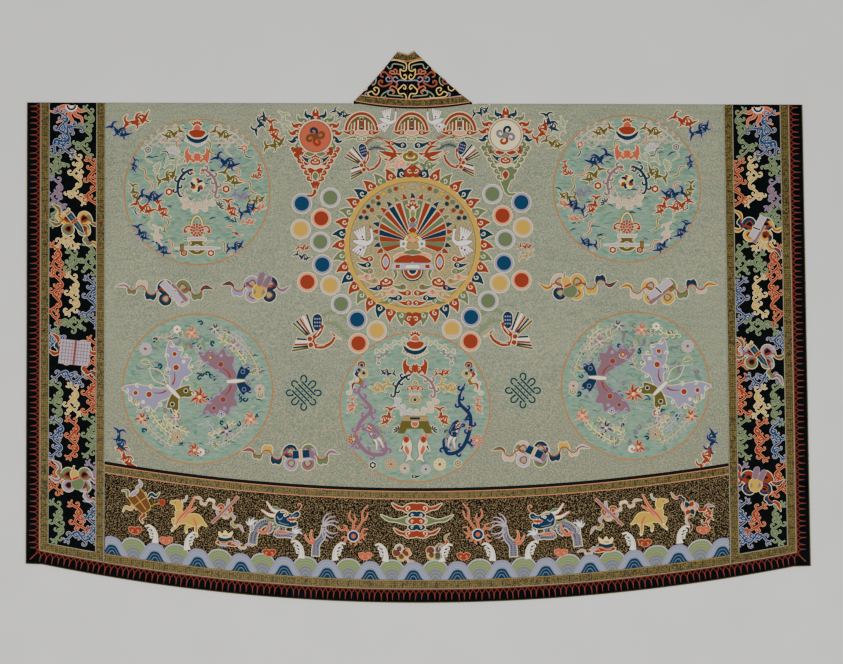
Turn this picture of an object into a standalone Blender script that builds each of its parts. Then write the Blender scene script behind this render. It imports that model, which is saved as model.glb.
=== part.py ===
"""Taoist vestment: a wide silk robe folded over the shoulders and laid flat with its back up.

The pattern is drawn in its own frame: x across the robe, y up the back from the
shoulder fold, so that the hem is at negative y. The two fronts lie flat on the
surface at z = 0, the back lies on them, and both are joined round the shoulder
fold. An empty carries every piece, so that the middle of the whole outline comes
over the origin. Sizes are in metres.
"""
import math

import bmesh
import bpy

# Cloth layers
CLOTH = 0.0013              # thickness of a lined silk panel
LAYER_GAP = 0.0004          # between the fronts and the back
SEAM = 0.0003               # between two pieces at a seam
BRAID = 0.0010              # thickness of a sewn-on gold ribbon
FRONT_TOP = CLOTH
BACK_TOP = 2 * CLOTH + LAYER_GAP
FOLD_RADIUS = BACK_TOP / 2  # outer radius of the shoulder fold and of the collar folds
TURN_IN = 0.0025            # flat part of the back that lies on the surface past the fold
FOLD_STEPS = 4

# Outline of the robe, to the outer edge of its gold ribbons
HALF_WIDTH = 0.897
SIDE_PANEL = 0.156          # side band with both its ribbons
RIBBON = 0.022
HEM_CENTRE = 1.165          # from the shoulder fold to the hem, at the centre
HEM_RISE = 0.091            # the hem is this much higher at the corners
HEM_DEPTH = 0.239           # hem band with its ribbons
HEM_PIPING = 0.0036         # dark cord above the upper ribbon of the hem
HEM_UPPER_RIBBON = 0.020
FLANGE = 0.033              # navy border outside the gold ribbons
FRONT_INSET = 0.002         # the fronts end this far inside the back's flange
FLARE = 0.0245              # the right half is laid out wider towards the hem

# Neckline and neckband
NECKLINE_DIP = 0.0118       # below the shoulder fold, at the centre back
NECKLINE_TIP = 0.0017       # above the shoulder fold, at the ends of the back neckline
NECK_HALF = 0.150           # the shoulder fold starts here
NECK_REACH = 0.145
NECK_SEAM_X = -0.017        # centre-back seam of the neckband
NECK_SEAM_TOP = 0.1176
NECK_EDGE = 0.0045          # dark edge below the lower ribbon
NECK_LOWER_RIBBON = 0.017
NECK_UPPER_RIBBON = 0.015
NECK_UPPER_EDGE = 0.0015
STRIP_INNER = 0.0205        # free edge of the neckband down a front, from the middle
STRIP_SETTLES = 0.30        # below this the strip runs straight down
NECK_TURN = 0.020           # the turned band is level across its width this far down a front
# Each half turns under along a line from its tip up to its top corner.
NECK_FOLDS = {
    "left": {"side": -1, "tip_x": -0.1485, "top_x": -0.042, "top_y": 0.1236},
    "right": {"side": 1, "tip_x": 0.1400, "top_x": -0.0007, "top_y": 0.1253},
}

# Fringe: flat tapering locks on a narrow backing strip
LOCK_PITCH = 0.016
LOCK_ROOT = 0.010
LOCK_TIP = 0.0018
LOCK_SIDE = 0.024
LOCK_HEM = 0.027
FRINGE_STRIP = 0.004
FRINGE_THICKNESS = 0.0012
FRINGE_END = 0.010          # bare strip at each end of a fringe

# Soft ripples in the back field: a long low ridge for each row
RIPPLE_COLUMNS = ("x", "y", "angle", "length", "width", "height")
RIPPLES = (
    (-0.30, -0.26, 65, 0.20, 0.055, 0.0022),
    (-0.57, -0.55, 20, 0.26, 0.070, 0.0024),
    (0.33, -0.28, -60, 0.22, 0.060, 0.0022),
    (0.52, -0.60, -15, 0.28, 0.070, 0.0026),
    (-0.06, -0.72, 5, 0.34, 0.060, 0.0020),
    (0.62, -0.20, -75, 0.18, 0.050, 0.0018),
    (-0.66, -0.28, 80, 0.20, 0.050, 0.0018),
)
RIPPLE_MARGIN = 0.030       # the field stays flat this close to a ribbon
RIPPLE_BLEND = 0.070

# Grid steps of the larger pieces
FIELD_SIDE_STEPS = 11
FIELD_NECK_STEPS = 8
FIELD_ROWS = 20
HEM_STEPS = 36
HEM_ROWS = 2
NARROW_STEPS = 8
BAND_STEPS = 3
FOOT_STEPS = 4
TURN_STEPS = 3              # from the neckband's fold to its level part
NECK_ALONG = 6
NECK_ACROSS = 6

SEAM_X = HALF_WIDTH - SIDE_PANEL + RIBBON / 2    # seam between field and side band
INNER_RIBBON_X = HALF_WIDTH - SIDE_PANEL
OUTER_RIBBON_X = HALF_WIDTH - RIBBON
HEM_SEAM_DROP = HEM_PIPING + HEM_UPPER_RIBBON / 2
FRONT_START = -(FOLD_RADIUS + TURN_IN + SEAM)    # upper edge of the front pieces
CREST = -FOLD_RADIUS                             # upper edge of the ribbons on the back
SIDES = (("left", -1), ("right", 1))

COLOURS = {
    "celadon silk": (0.25, 0.33, 0.26, 0.75),
    "black silk": (0.016, 0.02, 0.022, 0.8),
    "brown silk": (0.06, 0.045, 0.03, 0.8),
    "gold ribbon": (0.30, 0.22, 0.08, 0.6),
    "navy silk": (0.012, 0.017, 0.035, 0.85),
    "red fringe": (0.32, 0.035, 0.02, 0.85),
}


def remove_everything():
    for thing in list(bpy.data.objects):
        bpy.data.objects.remove(thing, do_unlink=True)


def silk(name):
    """The plain material of this name, made once."""
    found = bpy.data.materials.get(name)
    if found:
        return found
    made = bpy.data.materials.new(name)
    made.use_nodes = True
    shader = made.node_tree.nodes["Principled BSDF"]
    red, green, blue, rough = COLOURS[name]
    shader.inputs["Base Color"].default_value = (red, green, blue, 1.0)
    shader.inputs["Roughness"].default_value = rough
    shader.inputs["Metallic"].default_value = 0.0
    return made


def spread(first, last, steps):
    """Evenly spaced numbers from first to last, both included."""
    return [first + (last - first) * i / steps for i in range(steps + 1)]


def mix(a, b, t):
    return a + (b - a) * t


def smooth(t):
    t = min(max(t, 0.0), 1.0)
    return t * t * (3 - 2 * t)


def lay(x, y):
    """Where a point of the pattern comes to lie: the right half spreads towards the hem."""
    down = max(0.0, -y / (HEM_CENTRE - HEM_RISE))
    return x * (1 + FLARE * down) if x > 0 else x


def hem_edge(x):
    return -HEM_CENTRE + HEM_RISE * (x / HALF_WIDTH) ** 2


def hem_seam(x):
    """Seam between the field and the hem band, under the middle of the upper ribbon."""
    return hem_edge(x) + HEM_DEPTH - HEM_SEAM_DROP


def neckline(x):
    """Lower edge of the neckband across the back."""
    return -NECKLINE_DIP + (NECKLINE_DIP + NECKLINE_TIP) * (x / NECK_REACH) ** 2


def field_top(x):
    return min(CREST, neckline(x) - SEAM)


def ripple(x, y):
    """Height of the soft ripples in the back field, none near a ribbon or the neck."""
    clear = min(SEAM_X - abs(x), y - hem_seam(x), -y)
    clear = min(clear, math.hypot(x, y) - NECK_HALF)
    fade = smooth((clear - RIPPLE_MARGIN) / RIPPLE_BLEND)
    height = 0.0
    for row in RIPPLES:
        ridge = dict(zip(RIPPLE_COLUMNS, row))
        turn = math.radians(ridge["angle"])
        dx, dy = x - ridge["x"], y - ridge["y"]
        along = dx * math.cos(turn) + dy * math.sin(turn)
        across = dy * math.cos(turn) - dx * math.sin(turn)
        swell = (along / ridge["length"]) ** 2 + (across / ridge["width"]) ** 2
        height += ridge["height"] * math.exp(-swell)
    return height * fade


def add_object(name, mesh_data, thickness, colour):
    """Turns a bmesh sheet into an object with a wall's thickness under its outer face."""
    mesh = bpy.data.meshes.new(name)
    mesh_data.to_mesh(mesh)
    mesh_data.free()
    made = bpy.data.objects.new(name, mesh)
    bpy.context.collection.objects.link(made)
    mesh.materials.append(silk(colour))
    wall = made.modifiers.new("wall", "SOLIDIFY")
    wall.thickness = thickness
    wall.offset = -1
    wall.use_even_offset = True
    return made


def cloth(name, rows, colour, thickness=CLOTH, present=None):
    """A wall through a grid of points on its outer face, with rows down and columns right."""
    sheet = bmesh.new()
    grid = [[sheet.verts.new(point) for point in row] for row in rows]
    for r in range(len(rows) - 1):
        for c in range(len(rows[0]) - 1):
            if present is None or present(r, c):
                corners = (grid[r][c], grid[r + 1][c], grid[r + 1][c + 1], grid[r][c + 1])
                sheet.faces.new(corners)
    loose = [v for v in sheet.verts if not v.link_faces]
    bmesh.ops.delete(sheet, geom=loose, context="VERTS")
    return add_object(name, sheet, thickness, colour)


def panel_rows(columns, steps, top, bottom, height):
    """Grid of a panel between two edges, given as y over x; height gives its outer face."""
    rows = []
    for down in spread(0, 1, steps):
        line = []
        for x in columns:
            y = mix(top(x), bottom(x), down)
            line.append((lay(x, y), y, height(x, y)))
        rows.append(line)
    return rows


def fold_rows(columns):
    """Points round the shoulder fold, from the flat of the fronts up to the back."""
    rows = [[(lay(x, CREST - TURN_IN), CREST - TURN_IN, 0.0) for x in columns]]
    for turn in spread(-90, 90, FOLD_STEPS)[:-1]:
        y = CREST + FOLD_RADIUS * math.cos(math.radians(turn))
        z = FOLD_RADIUS + FOLD_RADIUS * math.sin(math.radians(turn))
        rows.append([(lay(x, y), y, z) for x in columns])
    return rows


def back_height(x, y):
    return BACK_TOP


def ribbon_height(x, y):
    return BACK_TOP + SEAM + BRAID


def front_height(x, y):
    return FRONT_TOP


def mirrored(side, xs):
    """The same places across the robe on this side, in order from left to right."""
    return sorted(side * x for x in xs)


def crest_line(x):
    return CREST


def front_line(x):
    return FRONT_START


def seam_above_hem(x):
    return hem_seam(x) + SEAM / 2


def seam_below_field(x):
    return hem_seam(x) - SEAM / 2


def hem_line(x):
    return hem_edge(x) + SEAM / 2


def folded_panel(name, columns, steps, bottom, colour):
    """A back piece that runs over the shoulder fold along its whole upper edge."""
    rows = fold_rows(columns) + panel_rows(columns, steps, crest_line, bottom, back_height)
    return cloth(name, rows, colour)


def build_back_field():
    edge = SEAM_X - SEAM / 2
    columns = spread(-edge, -NECK_HALF, FIELD_SIDE_STEPS)
    columns += spread(-NECK_HALF, NECK_HALF, FIELD_NECK_STEPS)[1:]
    columns += spread(NECK_HALF, edge, FIELD_SIDE_STEPS)[1:]
    fold = fold_rows(columns)

    def height(x, y):
        return BACK_TOP + ripple(x, y)

    def present(r, c):
        over_shoulder = abs(columns[c] + columns[c + 1]) / 2 > NECK_HALF
        return over_shoulder or r >= len(fold)

    rows = fold + panel_rows(columns, FIELD_ROWS, field_top, seam_above_hem, height)
    cloth("back_field", rows, "celadon silk", present=present)


def build_back_bands():
    for label, side in SIDES:
        columns = mirrored(side, spread(SEAM_X + SEAM / 2, HALF_WIDTH - SEAM / 2, BAND_STEPS))
        folded_panel(f"back_band_{label}", columns, NARROW_STEPS, hem_line, "black silk")
    columns = spread(-SEAM_X + SEAM / 2, SEAM_X - SEAM / 2, HEM_STEPS)
    rows = panel_rows(columns, HEM_ROWS, seam_below_field, hem_line, back_height)
    cloth("back_hem_band", rows, "brown silk")


def build_side_ribbons():
    """Gold ribbons round each side band, mitred at its foot."""
    for label, side in SIDES:

        def outer_foot(x):
            return hem_edge(x) + abs(abs(x) - HALF_WIDTH) + SEAM

        def inner_foot(x):
            return hem_edge(x) + abs(abs(x) - INNER_RIBBON_X) + SEAM

        places = {
            "outer": (OUTER_RIBBON_X, HALF_WIDTH, outer_foot),
            "inner": (INNER_RIBBON_X, INNER_RIBBON_X + RIBBON, inner_foot),
        }
        for place, (near, far, foot) in places.items():
            columns = mirrored(side, (near, far))
            rows = panel_rows(columns, NARROW_STEPS, crest_line, foot, ribbon_height)
            cloth(f"ribbon_{place}_{label}", rows, "gold ribbon", BRAID)
        upper = mirrored(side, spread(INNER_RIBBON_X + RIBBON, OUTER_RIBBON_X, FOOT_STEPS))
        lower = mirrored(side, spread(INNER_RIBBON_X, HALF_WIDTH, FOOT_STEPS))
        z = ribbon_height(0, 0)
        rows = [
            [(lay(x, hem_edge(x) + RIBBON), hem_edge(x) + RIBBON, z) for x in upper],
            [(lay(x, hem_edge(x)), hem_edge(x), z) for x in lower],
        ]
        cloth(f"ribbon_foot_{label}", rows, "gold ribbon", BRAID)


def build_hem_ribbons():
    edge = INNER_RIBBON_X - SEAM
    columns = spread(-edge, edge, HEM_STEPS)

    def upper_top(x):
        return hem_edge(x) + HEM_DEPTH - HEM_PIPING

    def upper_bottom(x):
        return upper_top(x) - HEM_UPPER_RIBBON

    def lower_top(x):
        return hem_edge(x) + RIBBON

    for name, top, bottom in (
        ("ribbon_hem_upper", upper_top, upper_bottom),
        ("ribbon_hem_lower", lower_top, hem_edge),
    ):
        rows = panel_rows(columns, 1, top, bottom, ribbon_height)
        cloth(name, rows, "gold ribbon", BRAID)


def hem_flange_rows(first, last, steps, width, height):
    """Flange below the hem: its lower edge reaches out as far as the side flanges at a corner."""
    def reach(x):
        at_edge = abs(abs(x) - (HALF_WIDTH + SEAM)) < SEAM
        return math.copysign(width - SEAM, x) if at_edge else 0.0

    upper = [(x, hem_edge(x) - SEAM / 2) for x in spread(first, last, steps)]
    lower = [(x + reach(x), hem_edge(x) - width) for x, y in upper]
    return [[(lay(x, y), y, height) for x, y in line] for line in (upper, lower)]


def side_flange_foot(x):
    """Mitred lower end of a side flange."""
    past = abs(x) - HALF_WIDTH
    return hem_edge(math.copysign(HALF_WIDTH, x)) - past + SEAM


def build_back_flanges():
    for label, side in SIDES:
        columns = mirrored(side, (HALF_WIDTH + SEAM / 2, HALF_WIDTH + FLANGE))
        folded_panel(f"border_{label}", columns, NARROW_STEPS, side_flange_foot, "navy silk")
    edge = HALF_WIDTH + SEAM
    rows = hem_flange_rows(-edge, edge, HEM_STEPS, FLANGE, BACK_TOP)
    cloth("border_hem", rows, "navy silk")


def add_fringe(name, line, outward, locks, length):
    """A comb of tapering locks: line(t) runs along the backing, outward(t) points out of it."""
    sheet = bmesh.new()
    z = BACK_TOP + SEAM + FRINGE_THICKNESS
    share = LOCK_ROOT / LOCK_PITCH

    def vertex(t, out, sideways=0.0):
        x, y = line(t)
        nx, ny = outward(t)
        x, y = x + nx * out - ny * sideways, y + ny * out + nx * sideways
        return sheet.verts.new((lay(x, y), y, z))

    def upward(corners):
        area = 0.0
        for a, b in zip(corners, corners[1:] + corners[:1]):
            area += a.co.x * b.co.y - b.co.x * a.co.y
        sheet.faces.new(corners if area > 0 else corners[::-1])

    cuts = [0.0]
    for i in range(locks):
        cuts += [(i + 0.5 - share / 2) / locks, (i + 0.5 + share / 2) / locks]
    cuts.append(1.0)
    inner = [vertex(t, SEAM) for t in cuts]
    outer = [vertex(t, FRINGE_STRIP) for t in cuts]
    for i in range(len(cuts) - 1):
        upward([inner[i], inner[i + 1], outer[i + 1], outer[i]])
        if i % 2:
            middle = (cuts[i] + cuts[i + 1]) / 2
            tips = [vertex(middle, length, s * LOCK_TIP / 2) for s in (-1, 1)]
            near = (tips[0].co - outer[i].co).length < (tips[1].co - outer[i].co).length
            first, last = tips if near else tips[::-1]
            upward([outer[i], outer[i + 1], last, first])
    add_object(name, sheet, FRINGE_THICKNESS, "red fringe")


def build_fringes():
    corner = hem_edge(HALF_WIDTH)
    for label, side in SIDES:

        def side_line(t):
            return side * HALF_WIDTH, mix(CREST - FRINGE_END, corner + FRINGE_END, t)

        def side_outward(t):
            return side, 0.0

        locks = int((-corner - 2 * FRINGE_END) / LOCK_PITCH)
        add_fringe(f"fringe_{label}", side_line, side_outward, locks, LOCK_SIDE)

    def hem_x(t):
        return mix(-HALF_WIDTH + FRINGE_END, HALF_WIDTH - FRINGE_END, t)

    def along_hem(t):
        return hem_x(t), hem_edge(hem_x(t))

    def hem_outward(t):
        slope = 2 * HEM_RISE * hem_x(t) / HALF_WIDTH ** 2
        size = math.hypot(1, slope)
        return slope / size, -1 / size

    locks = int(2 * (HALF_WIDTH - FRINGE_END) / LOCK_PITCH)
    add_fringe("fringe_hem", along_hem, hem_outward, locks, LOCK_HEM)


def strip_inner(fold, y):
    """Free edge of a neckband down its front, at this height."""
    return mix(fold["top_x"], fold["side"] * STRIP_INNER, smooth(-y / STRIP_SETTLES))


def neck_point(fold, along, across):
    """A point of the neckband where it stands above the back neckline."""
    seam_x = NECK_SEAM_X + fold["side"] * SEAM / 2
    seam_y = mix(neckline(seam_x), NECK_SEAM_TOP, across)
    tip_y = neckline(fold["tip_x"])
    x = mix(seam_x, mix(fold["tip_x"], fold["top_x"], across), along)
    y = mix(seam_y, mix(tip_y, fold["top_y"], across), along)
    straight = mix(neckline(seam_x), tip_y, along)
    return x, y + (1 - across) * (neckline(x) - straight)


def fold_normal(fold):
    """Direction in the plane that points out of the neckband's diagonal fold."""
    run = fold["top_x"] - fold["tip_x"]
    rise = fold["top_y"] - neckline(fold["tip_x"])
    size = math.hypot(run, rise)
    return fold["side"] * rise / size, abs(run) / size


def standing_rows(fold, places, height):
    """Rows of the standing neckband, from its seam to where the diagonal fold begins to turn."""
    room = FOLD_RADIUS / fold_normal(fold)[0]
    rows = []
    for along in spread(0, 1, NECK_ALONG):
        line = [neck_point(fold, along, across) for across in places]
        rows.append([(x - room * along, y, height) for x, y in line])
    return rows


def strip_row(fold, places, height_of):
    """One row of points across the neckband down a front; height_of gives y over x."""
    line = []
    for across in places:
        x = mix(fold["tip_x"], strip_inner(fold, height_of(0)), across)
        y = height_of(x)
        line.append((lay(x, y), y, 0.0))
    return line


def build_neckbands():
    """Each half in one piece: standing at the back, turned under, and down its front."""
    places = spread(0, 1, NECK_ACROSS)
    level = FRONT_START - NECK_TURN
    for label, fold in NECK_FOLDS.items():
        nx, ny = fold_normal(fold)
        rows = standing_rows(fold, places, BACK_TOP)
        crest = rows[-1]
        for turn in spread(90, -90, FOLD_STEPS)[1:]:
            out = FOLD_RADIUS * math.cos(math.radians(turn))
            z = FOLD_RADIUS * (1 + math.sin(math.radians(turn)))
            rows.append([(x + nx * out, y + ny * out, z) for x, y, _ in crest])
        turned = rows[-1]
        first = strip_row(fold, places, lambda x: level)
        for t in spread(0, 1, TURN_STEPS)[1:]:
            pairs = zip(turned, first)
            rows.append([(mix(a[0], b[0], t), mix(a[1], b[1], t), 0.0) for a, b in pairs])
        for t in spread(0, 1, NARROW_STEPS)[1:]:
            rows.append(strip_row(fold, places, lambda x: mix(level, hem_edge(x), t)))
        if fold["side"] < 0:
            rows = [row[::-1] for row in rows]
        cloth(f"neckband_{label}", rows, "black silk")


def build_neck_ribbons():
    """Gold ribbons along the lower and upper edge of the standing neckband."""
    width = NECK_SEAM_TOP - neckline(NECK_SEAM_X)
    edges = {
        "lower": (NECK_EDGE, NECK_EDGE + NECK_LOWER_RIBBON),
        "upper": (width - NECK_UPPER_EDGE - NECK_UPPER_RIBBON, width - NECK_UPPER_EDGE),
    }
    for label, fold in NECK_FOLDS.items():
        for place, pair in edges.items():
            rows = standing_rows(fold, [edge / width for edge in pair], ribbon_height(0, 0))
            if fold["side"] < 0:
                rows = [row[::-1] for row in rows]
            cloth(f"neck_ribbon_{place}_{label}", rows, "gold ribbon", BRAID)


def build_fronts():
    """Each front lies between its neckband and its side band, which the seams join."""
    for label, side in SIDES:
        start = abs(NECK_FOLDS[label]["tip_x"]) + SEAM
        columns = mirrored(side, spread(start, SEAM_X - SEAM / 2, HEM_STEPS // 2))
        rows = panel_rows(columns, NARROW_STEPS, front_line, seam_above_hem, front_height)
        cloth(f"front_field_{label}", rows, "celadon silk")
        rows = panel_rows(columns, HEM_ROWS, seam_below_field, hem_line, front_height)
        cloth(f"front_hem_{label}", rows, "brown silk")
        columns = mirrored(side, spread(SEAM_X + SEAM / 2, HALF_WIDTH - SEAM / 2, BAND_STEPS))
        rows = panel_rows(columns, NARROW_STEPS, front_line, hem_line, front_height)
        cloth(f"front_band_{label}", rows, "black silk")
        width = FLANGE - FRONT_INSET
        columns = mirrored(side, (HALF_WIDTH + SEAM / 2, HALF_WIDTH + width))
        rows = panel_rows(columns, NARROW_STEPS, front_line, side_flange_foot, front_height)
        cloth(f"front_border_{label}", rows, "navy silk")
        ends = sorted((side * start, side * (HALF_WIDTH + SEAM)))
        rows = hem_flange_rows(ends[0], ends[1], HEM_STEPS // 2, width, FRONT_TOP)
        cloth(f"front_border_hem_{label}", rows, "navy silk")


def centre_over_origin():
    """Parents every piece to an empty that brings the middle of the outline over the origin."""
    pieces = [thing for thing in bpy.data.objects if thing.type == "MESH"]
    points = [v.co for piece in pieces for v in piece.data.vertices]
    middle_x = (min(p.x for p in points) + max(p.x for p in points)) / 2
    middle_y = (min(p.y for p in points) + max(p.y for p in points)) / 2
    carrier = bpy.data.objects.new("laid_out_robe", None)
    bpy.context.collection.objects.link(carrier)
    carrier.location = (-middle_x, -middle_y, 0.0)
    for piece in pieces:
        piece.parent = carrier


remove_everything()
build_back_field()
build_back_bands()
build_side_ribbons()
build_hem_ribbons()
build_back_flanges()
build_fringes()
build_neckbands()
build_neck_ribbons()
build_fronts()
centre_over_origin()
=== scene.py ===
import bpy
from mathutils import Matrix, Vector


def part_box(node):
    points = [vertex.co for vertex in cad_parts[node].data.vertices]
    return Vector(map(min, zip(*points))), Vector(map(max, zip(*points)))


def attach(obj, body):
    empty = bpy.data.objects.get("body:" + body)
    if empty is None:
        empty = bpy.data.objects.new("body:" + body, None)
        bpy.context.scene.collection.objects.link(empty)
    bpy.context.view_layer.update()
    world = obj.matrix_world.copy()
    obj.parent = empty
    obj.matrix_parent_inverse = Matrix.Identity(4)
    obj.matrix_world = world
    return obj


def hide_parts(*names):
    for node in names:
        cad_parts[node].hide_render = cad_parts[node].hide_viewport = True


bl_info = {
    "name": "Taoist Vestment",
    "version": (1, 0, 0),
    "blender": (4, 5, 0),
    "location": "View3D > Sidebar > Vestment",
    "description": "A priest's robe of silk tapestry laid flat, with its bands, ribbons and fringe",
    "category": "Object",
}

import math
import random

import bmesh
import bpy
import numpy as np
from mathutils import Vector

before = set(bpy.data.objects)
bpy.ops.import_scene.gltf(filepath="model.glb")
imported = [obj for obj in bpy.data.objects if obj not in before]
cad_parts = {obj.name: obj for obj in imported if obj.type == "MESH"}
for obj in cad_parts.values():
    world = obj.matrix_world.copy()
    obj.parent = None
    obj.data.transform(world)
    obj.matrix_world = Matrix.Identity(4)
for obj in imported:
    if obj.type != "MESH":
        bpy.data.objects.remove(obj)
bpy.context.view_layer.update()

# The pattern frame: x across the robe, y up from the shoulder fold, as the solids were drawn.
HALF_WIDTH = 0.897
OUTER_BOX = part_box("ribbon_outer_left")
FIELD_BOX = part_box("back_field")
SHIFT_X = OUTER_BOX[0].x + HALF_WIDTH
SHIFT_Y = FIELD_BOX[1].y

CLOTH = 0.0013
LAYER_GAP = 0.0004
SEAM = 0.0003
BRAID = 0.0010
BACK_TOP = 2 * CLOTH + LAYER_GAP
FOLD_RADIUS = BACK_TOP / 2
CREST = -FOLD_RADIUS
TURN_IN = 0.0025
FOLD_STEPS = 6              # rows of points round the shoulder fold
FRONT_START = -(FOLD_RADIUS + TURN_IN + SEAM)
SIDE_PANEL = 0.156
RIBBON = 0.022
HEM_CENTRE = 1.165
HEM_RISE = 0.091
HEM_DEPTH = 0.239
# Width of the dark piping along the hem band's upper edge, widened so that it also stands as painted shadow
# there
HEM_PIPING_AND_SHADOW = 0.0036
HEM_UPPER_RIBBON = 0.020
FLANGE = 0.033
FRONT_INSET = 0.002
FLARE = 0.0245
NECKLINE_DIP = 0.0118
NECKLINE_TIP = 0.0017
NECK_HALF = 0.150
NECK_REACH = 0.145
NECK_SEAM_X = -0.017
NECK_SEAM_TOP = 0.1176
NECK_EDGE = 0.0045
NECK_LOWER_RIBBON = 0.017
NECK_UPPER_RIBBON = 0.015
NECK_UPPER_EDGE = 0.0015
STRIP_INNER = 0.0205
STRIP_SETTLES = 0.30
NECK_TURN = 0.020
NECK_FOLDS = {
    "left": {"side": -1, "tip_x": -0.1485, "top_x": -0.042, "top_y": 0.1236},
    "right": {"side": 1, "tip_x": 0.1400, "top_x": -0.0007, "top_y": 0.1253},
}
SEAM_X = HALF_WIDTH - SIDE_PANEL + RIBBON / 2
INNER_RIBBON_X = HALF_WIDTH - SIDE_PANEL
OUTER_RIBBON_X = HALF_WIDTH - RIBBON
HEM_SEAM_DROP = HEM_PIPING_AND_SHADOW + HEM_UPPER_RIBBON / 2
SIDES = (("left", -1), ("right", 1))

# Soft ripples of the back field, as in its solid
RIPPLE_COLUMNS = ("x", "y", "angle", "length", "width", "height")
RIPPLES = (
    (-0.30, -0.26, 65, 0.20, 0.055, 0.0022),
    (-0.57, -0.55, 20, 0.26, 0.070, 0.0024),
    (0.33, -0.28, -60, 0.22, 0.060, 0.0022),
    (0.52, -0.60, -15, 0.28, 0.070, 0.0026),
    (-0.06, -0.72, 5, 0.34, 0.060, 0.0020),
    (0.62, -0.20, -75, 0.18, 0.050, 0.0018),
    (-0.66, -0.28, 80, 0.20, 0.050, 0.0018),
)
RIPPLE_MARGIN = 0.030
RIPPLE_BLEND = 0.070
# Creases from long storage: narrow ridges and troughs, in the same columns
CREASES = (
    (-0.275, -0.20, -14, 0.075, 0.0080, 0.0007),
    (-0.250, -0.27, -10, 0.090, 0.0085, -0.0006),
    (-0.285, -0.34, -16, 0.070, 0.0080, 0.0006),
    (-0.700, -0.29, -22, 0.060, 0.0080, 0.0006),
    (0.315, -0.27, 12, 0.080, 0.0085, 0.0007),
    (0.290, -0.36, 16, 0.070, 0.0080, -0.0006),
    (0.335, -0.44, 9, 0.075, 0.0085, 0.0006),
    (0.680, -0.80, 10, 0.090, 0.0090, 0.0007),
    (0.640, -0.52, -7, 0.080, 0.0085, -0.0005),
    (-0.190, -0.045, 28, 0.055, 0.0080, 0.0006),
    (0.180, -0.040, -24, 0.050, 0.0080, 0.0005),
    (-0.480, -0.47, 6, 0.090, 0.0085, 0.0006),
    (0.100, -0.56, -5, 0.100, 0.0090, -0.0005),
    (-0.340, -0.84, 8, 0.090, 0.0085, 0.0006),
    (0.330, -0.83, -10, 0.080, 0.0085, 0.0005),
)
SWAY = 0.0005               # height of the slow waves that all of the back shares


def spread(first, last, steps):
    """Evenly spaced values from first to last."""
    return [first + (last - first) * i / steps for i in range(steps + 1)]


def mix(a, b, t):
    """A value between two others."""
    return a + (b - a) * t


def smooth(t):
    """Rises from 0 to 1 with a soft start and end."""
    t = np.clip(t, 0.0, 1.0)
    return t * t * (3 - 2 * t)


def lay(x, y):
    """Where a point of the pattern lies as laid: the right half flares toward the hem."""
    down = np.maximum(0.0, -y / (HEM_CENTRE - HEM_RISE))
    return np.where(x > 0, x * (1 + FLARE * down), x) + SHIFT_X, y + SHIFT_Y


def hem_edge(x):
    """Height of the robe's curved lower edge over the pattern."""
    return -HEM_CENTRE + HEM_RISE * (x / HALF_WIDTH) ** 2


def hem_seam(x):
    """Height of the seam between the field and the hem band."""
    return hem_edge(x) + HEM_DEPTH - HEM_SEAM_DROP


def neckline(x):
    """Height of the cut below the neckband."""
    return -NECKLINE_DIP + (NECKLINE_DIP + NECKLINE_TIP) * (x / NECK_REACH) ** 2


def swell(rows, x, y):
    """Height of a table of ridges at these places."""
    height = np.zeros(np.shape(x))
    for row in rows:
        ridge = dict(zip(RIPPLE_COLUMNS, row))
        turn = math.radians(ridge["angle"])
        dx, dy = x - ridge["x"], y - ridge["y"]
        along = dx * math.cos(turn) + dy * math.sin(turn)
        across = dy * math.cos(turn) - dx * math.sin(turn)
        fall = (along / ridge["length"]) ** 2 + (across / ridge["width"]) ** 2
        height = height + ridge["height"] * np.exp(-fall)
    return height


def back_surface(x, y):
    """Height of the back's upper face over the pattern: slow waves, ripples and creases."""
    x, y = np.asarray(x, float), np.asarray(y, float)
    clear = np.minimum(SEAM_X - np.abs(x), np.minimum(y - hem_seam(x), -y))
    clear = np.minimum(clear, np.hypot(x, y) - NECK_HALF)
    fade = smooth((clear - RIPPLE_MARGIN) / RIPPLE_BLEND)
    fine = smooth(clear / RIPPLE_MARGIN)
    waves = 1 + 0.5 * np.sin(x * 23 + 2.2 * np.sin(y * 7)) + 0.5 * np.sin(y * 19 + 3 * x)
    settle = smooth(-y / 0.05)
    lift = SWAY * waves * settle + swell(RIPPLES, x, y) * fade + swell(CREASES, x, y) * fine
    return BACK_TOP + np.maximum(lift, 0.0)


def at(x, y, lift=0.0):
    """World points on the back over pattern places, this far above its upper face."""
    x, y = np.asarray(x, float), np.asarray(y, float)
    world_x, world_y = lay(x, y)
    return np.stack([world_x, world_y, back_surface(x, y) + lift], -1)


def level(x, y, z):
    """World points at a fixed height over pattern places."""
    x, y = np.asarray(x, float), np.asarray(y, float)
    world_x, world_y = lay(x, y)
    return np.stack([world_x, world_y, np.full(np.shape(x), float(z))], -1)


def between(columns, rows, top, bottom):
    """Pattern places of a panel between two edges, rows down and columns right."""
    x = np.tile(np.asarray(columns, float), (rows + 1, 1))
    down = np.linspace(0, 1, rows + 1)[:, None]
    return x, mix(top(x), bottom(x), down)


def over_fold(columns):
    """Points round the shoulder fold, from under the back up to its upper face."""
    x = np.asarray(columns, float)
    rows = [level(x, np.full(x.shape, CREST - TURN_IN), 0.0)]
    for turn in spread(-90, 90, FOLD_STEPS)[:-1]:
        y = np.full(x.shape, CREST + FOLD_RADIUS * math.cos(math.radians(turn)))
        rows.append(level(x, y, FOLD_RADIUS * (1 + math.sin(math.radians(turn)))))
    return np.stack(rows)


# Sizes and colours that a user would change


def linear(code):
    """sRGB hex to linear RGBA."""
    parts = [int(code[i:i + 2], 16) / 255 for i in (1, 3, 5)]
    bent = [p / 12.92 if p <= 0.04045 else ((p + 0.055) / 1.055) ** 2.4 for p in parts]
    return (*bent, 1.0)


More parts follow.
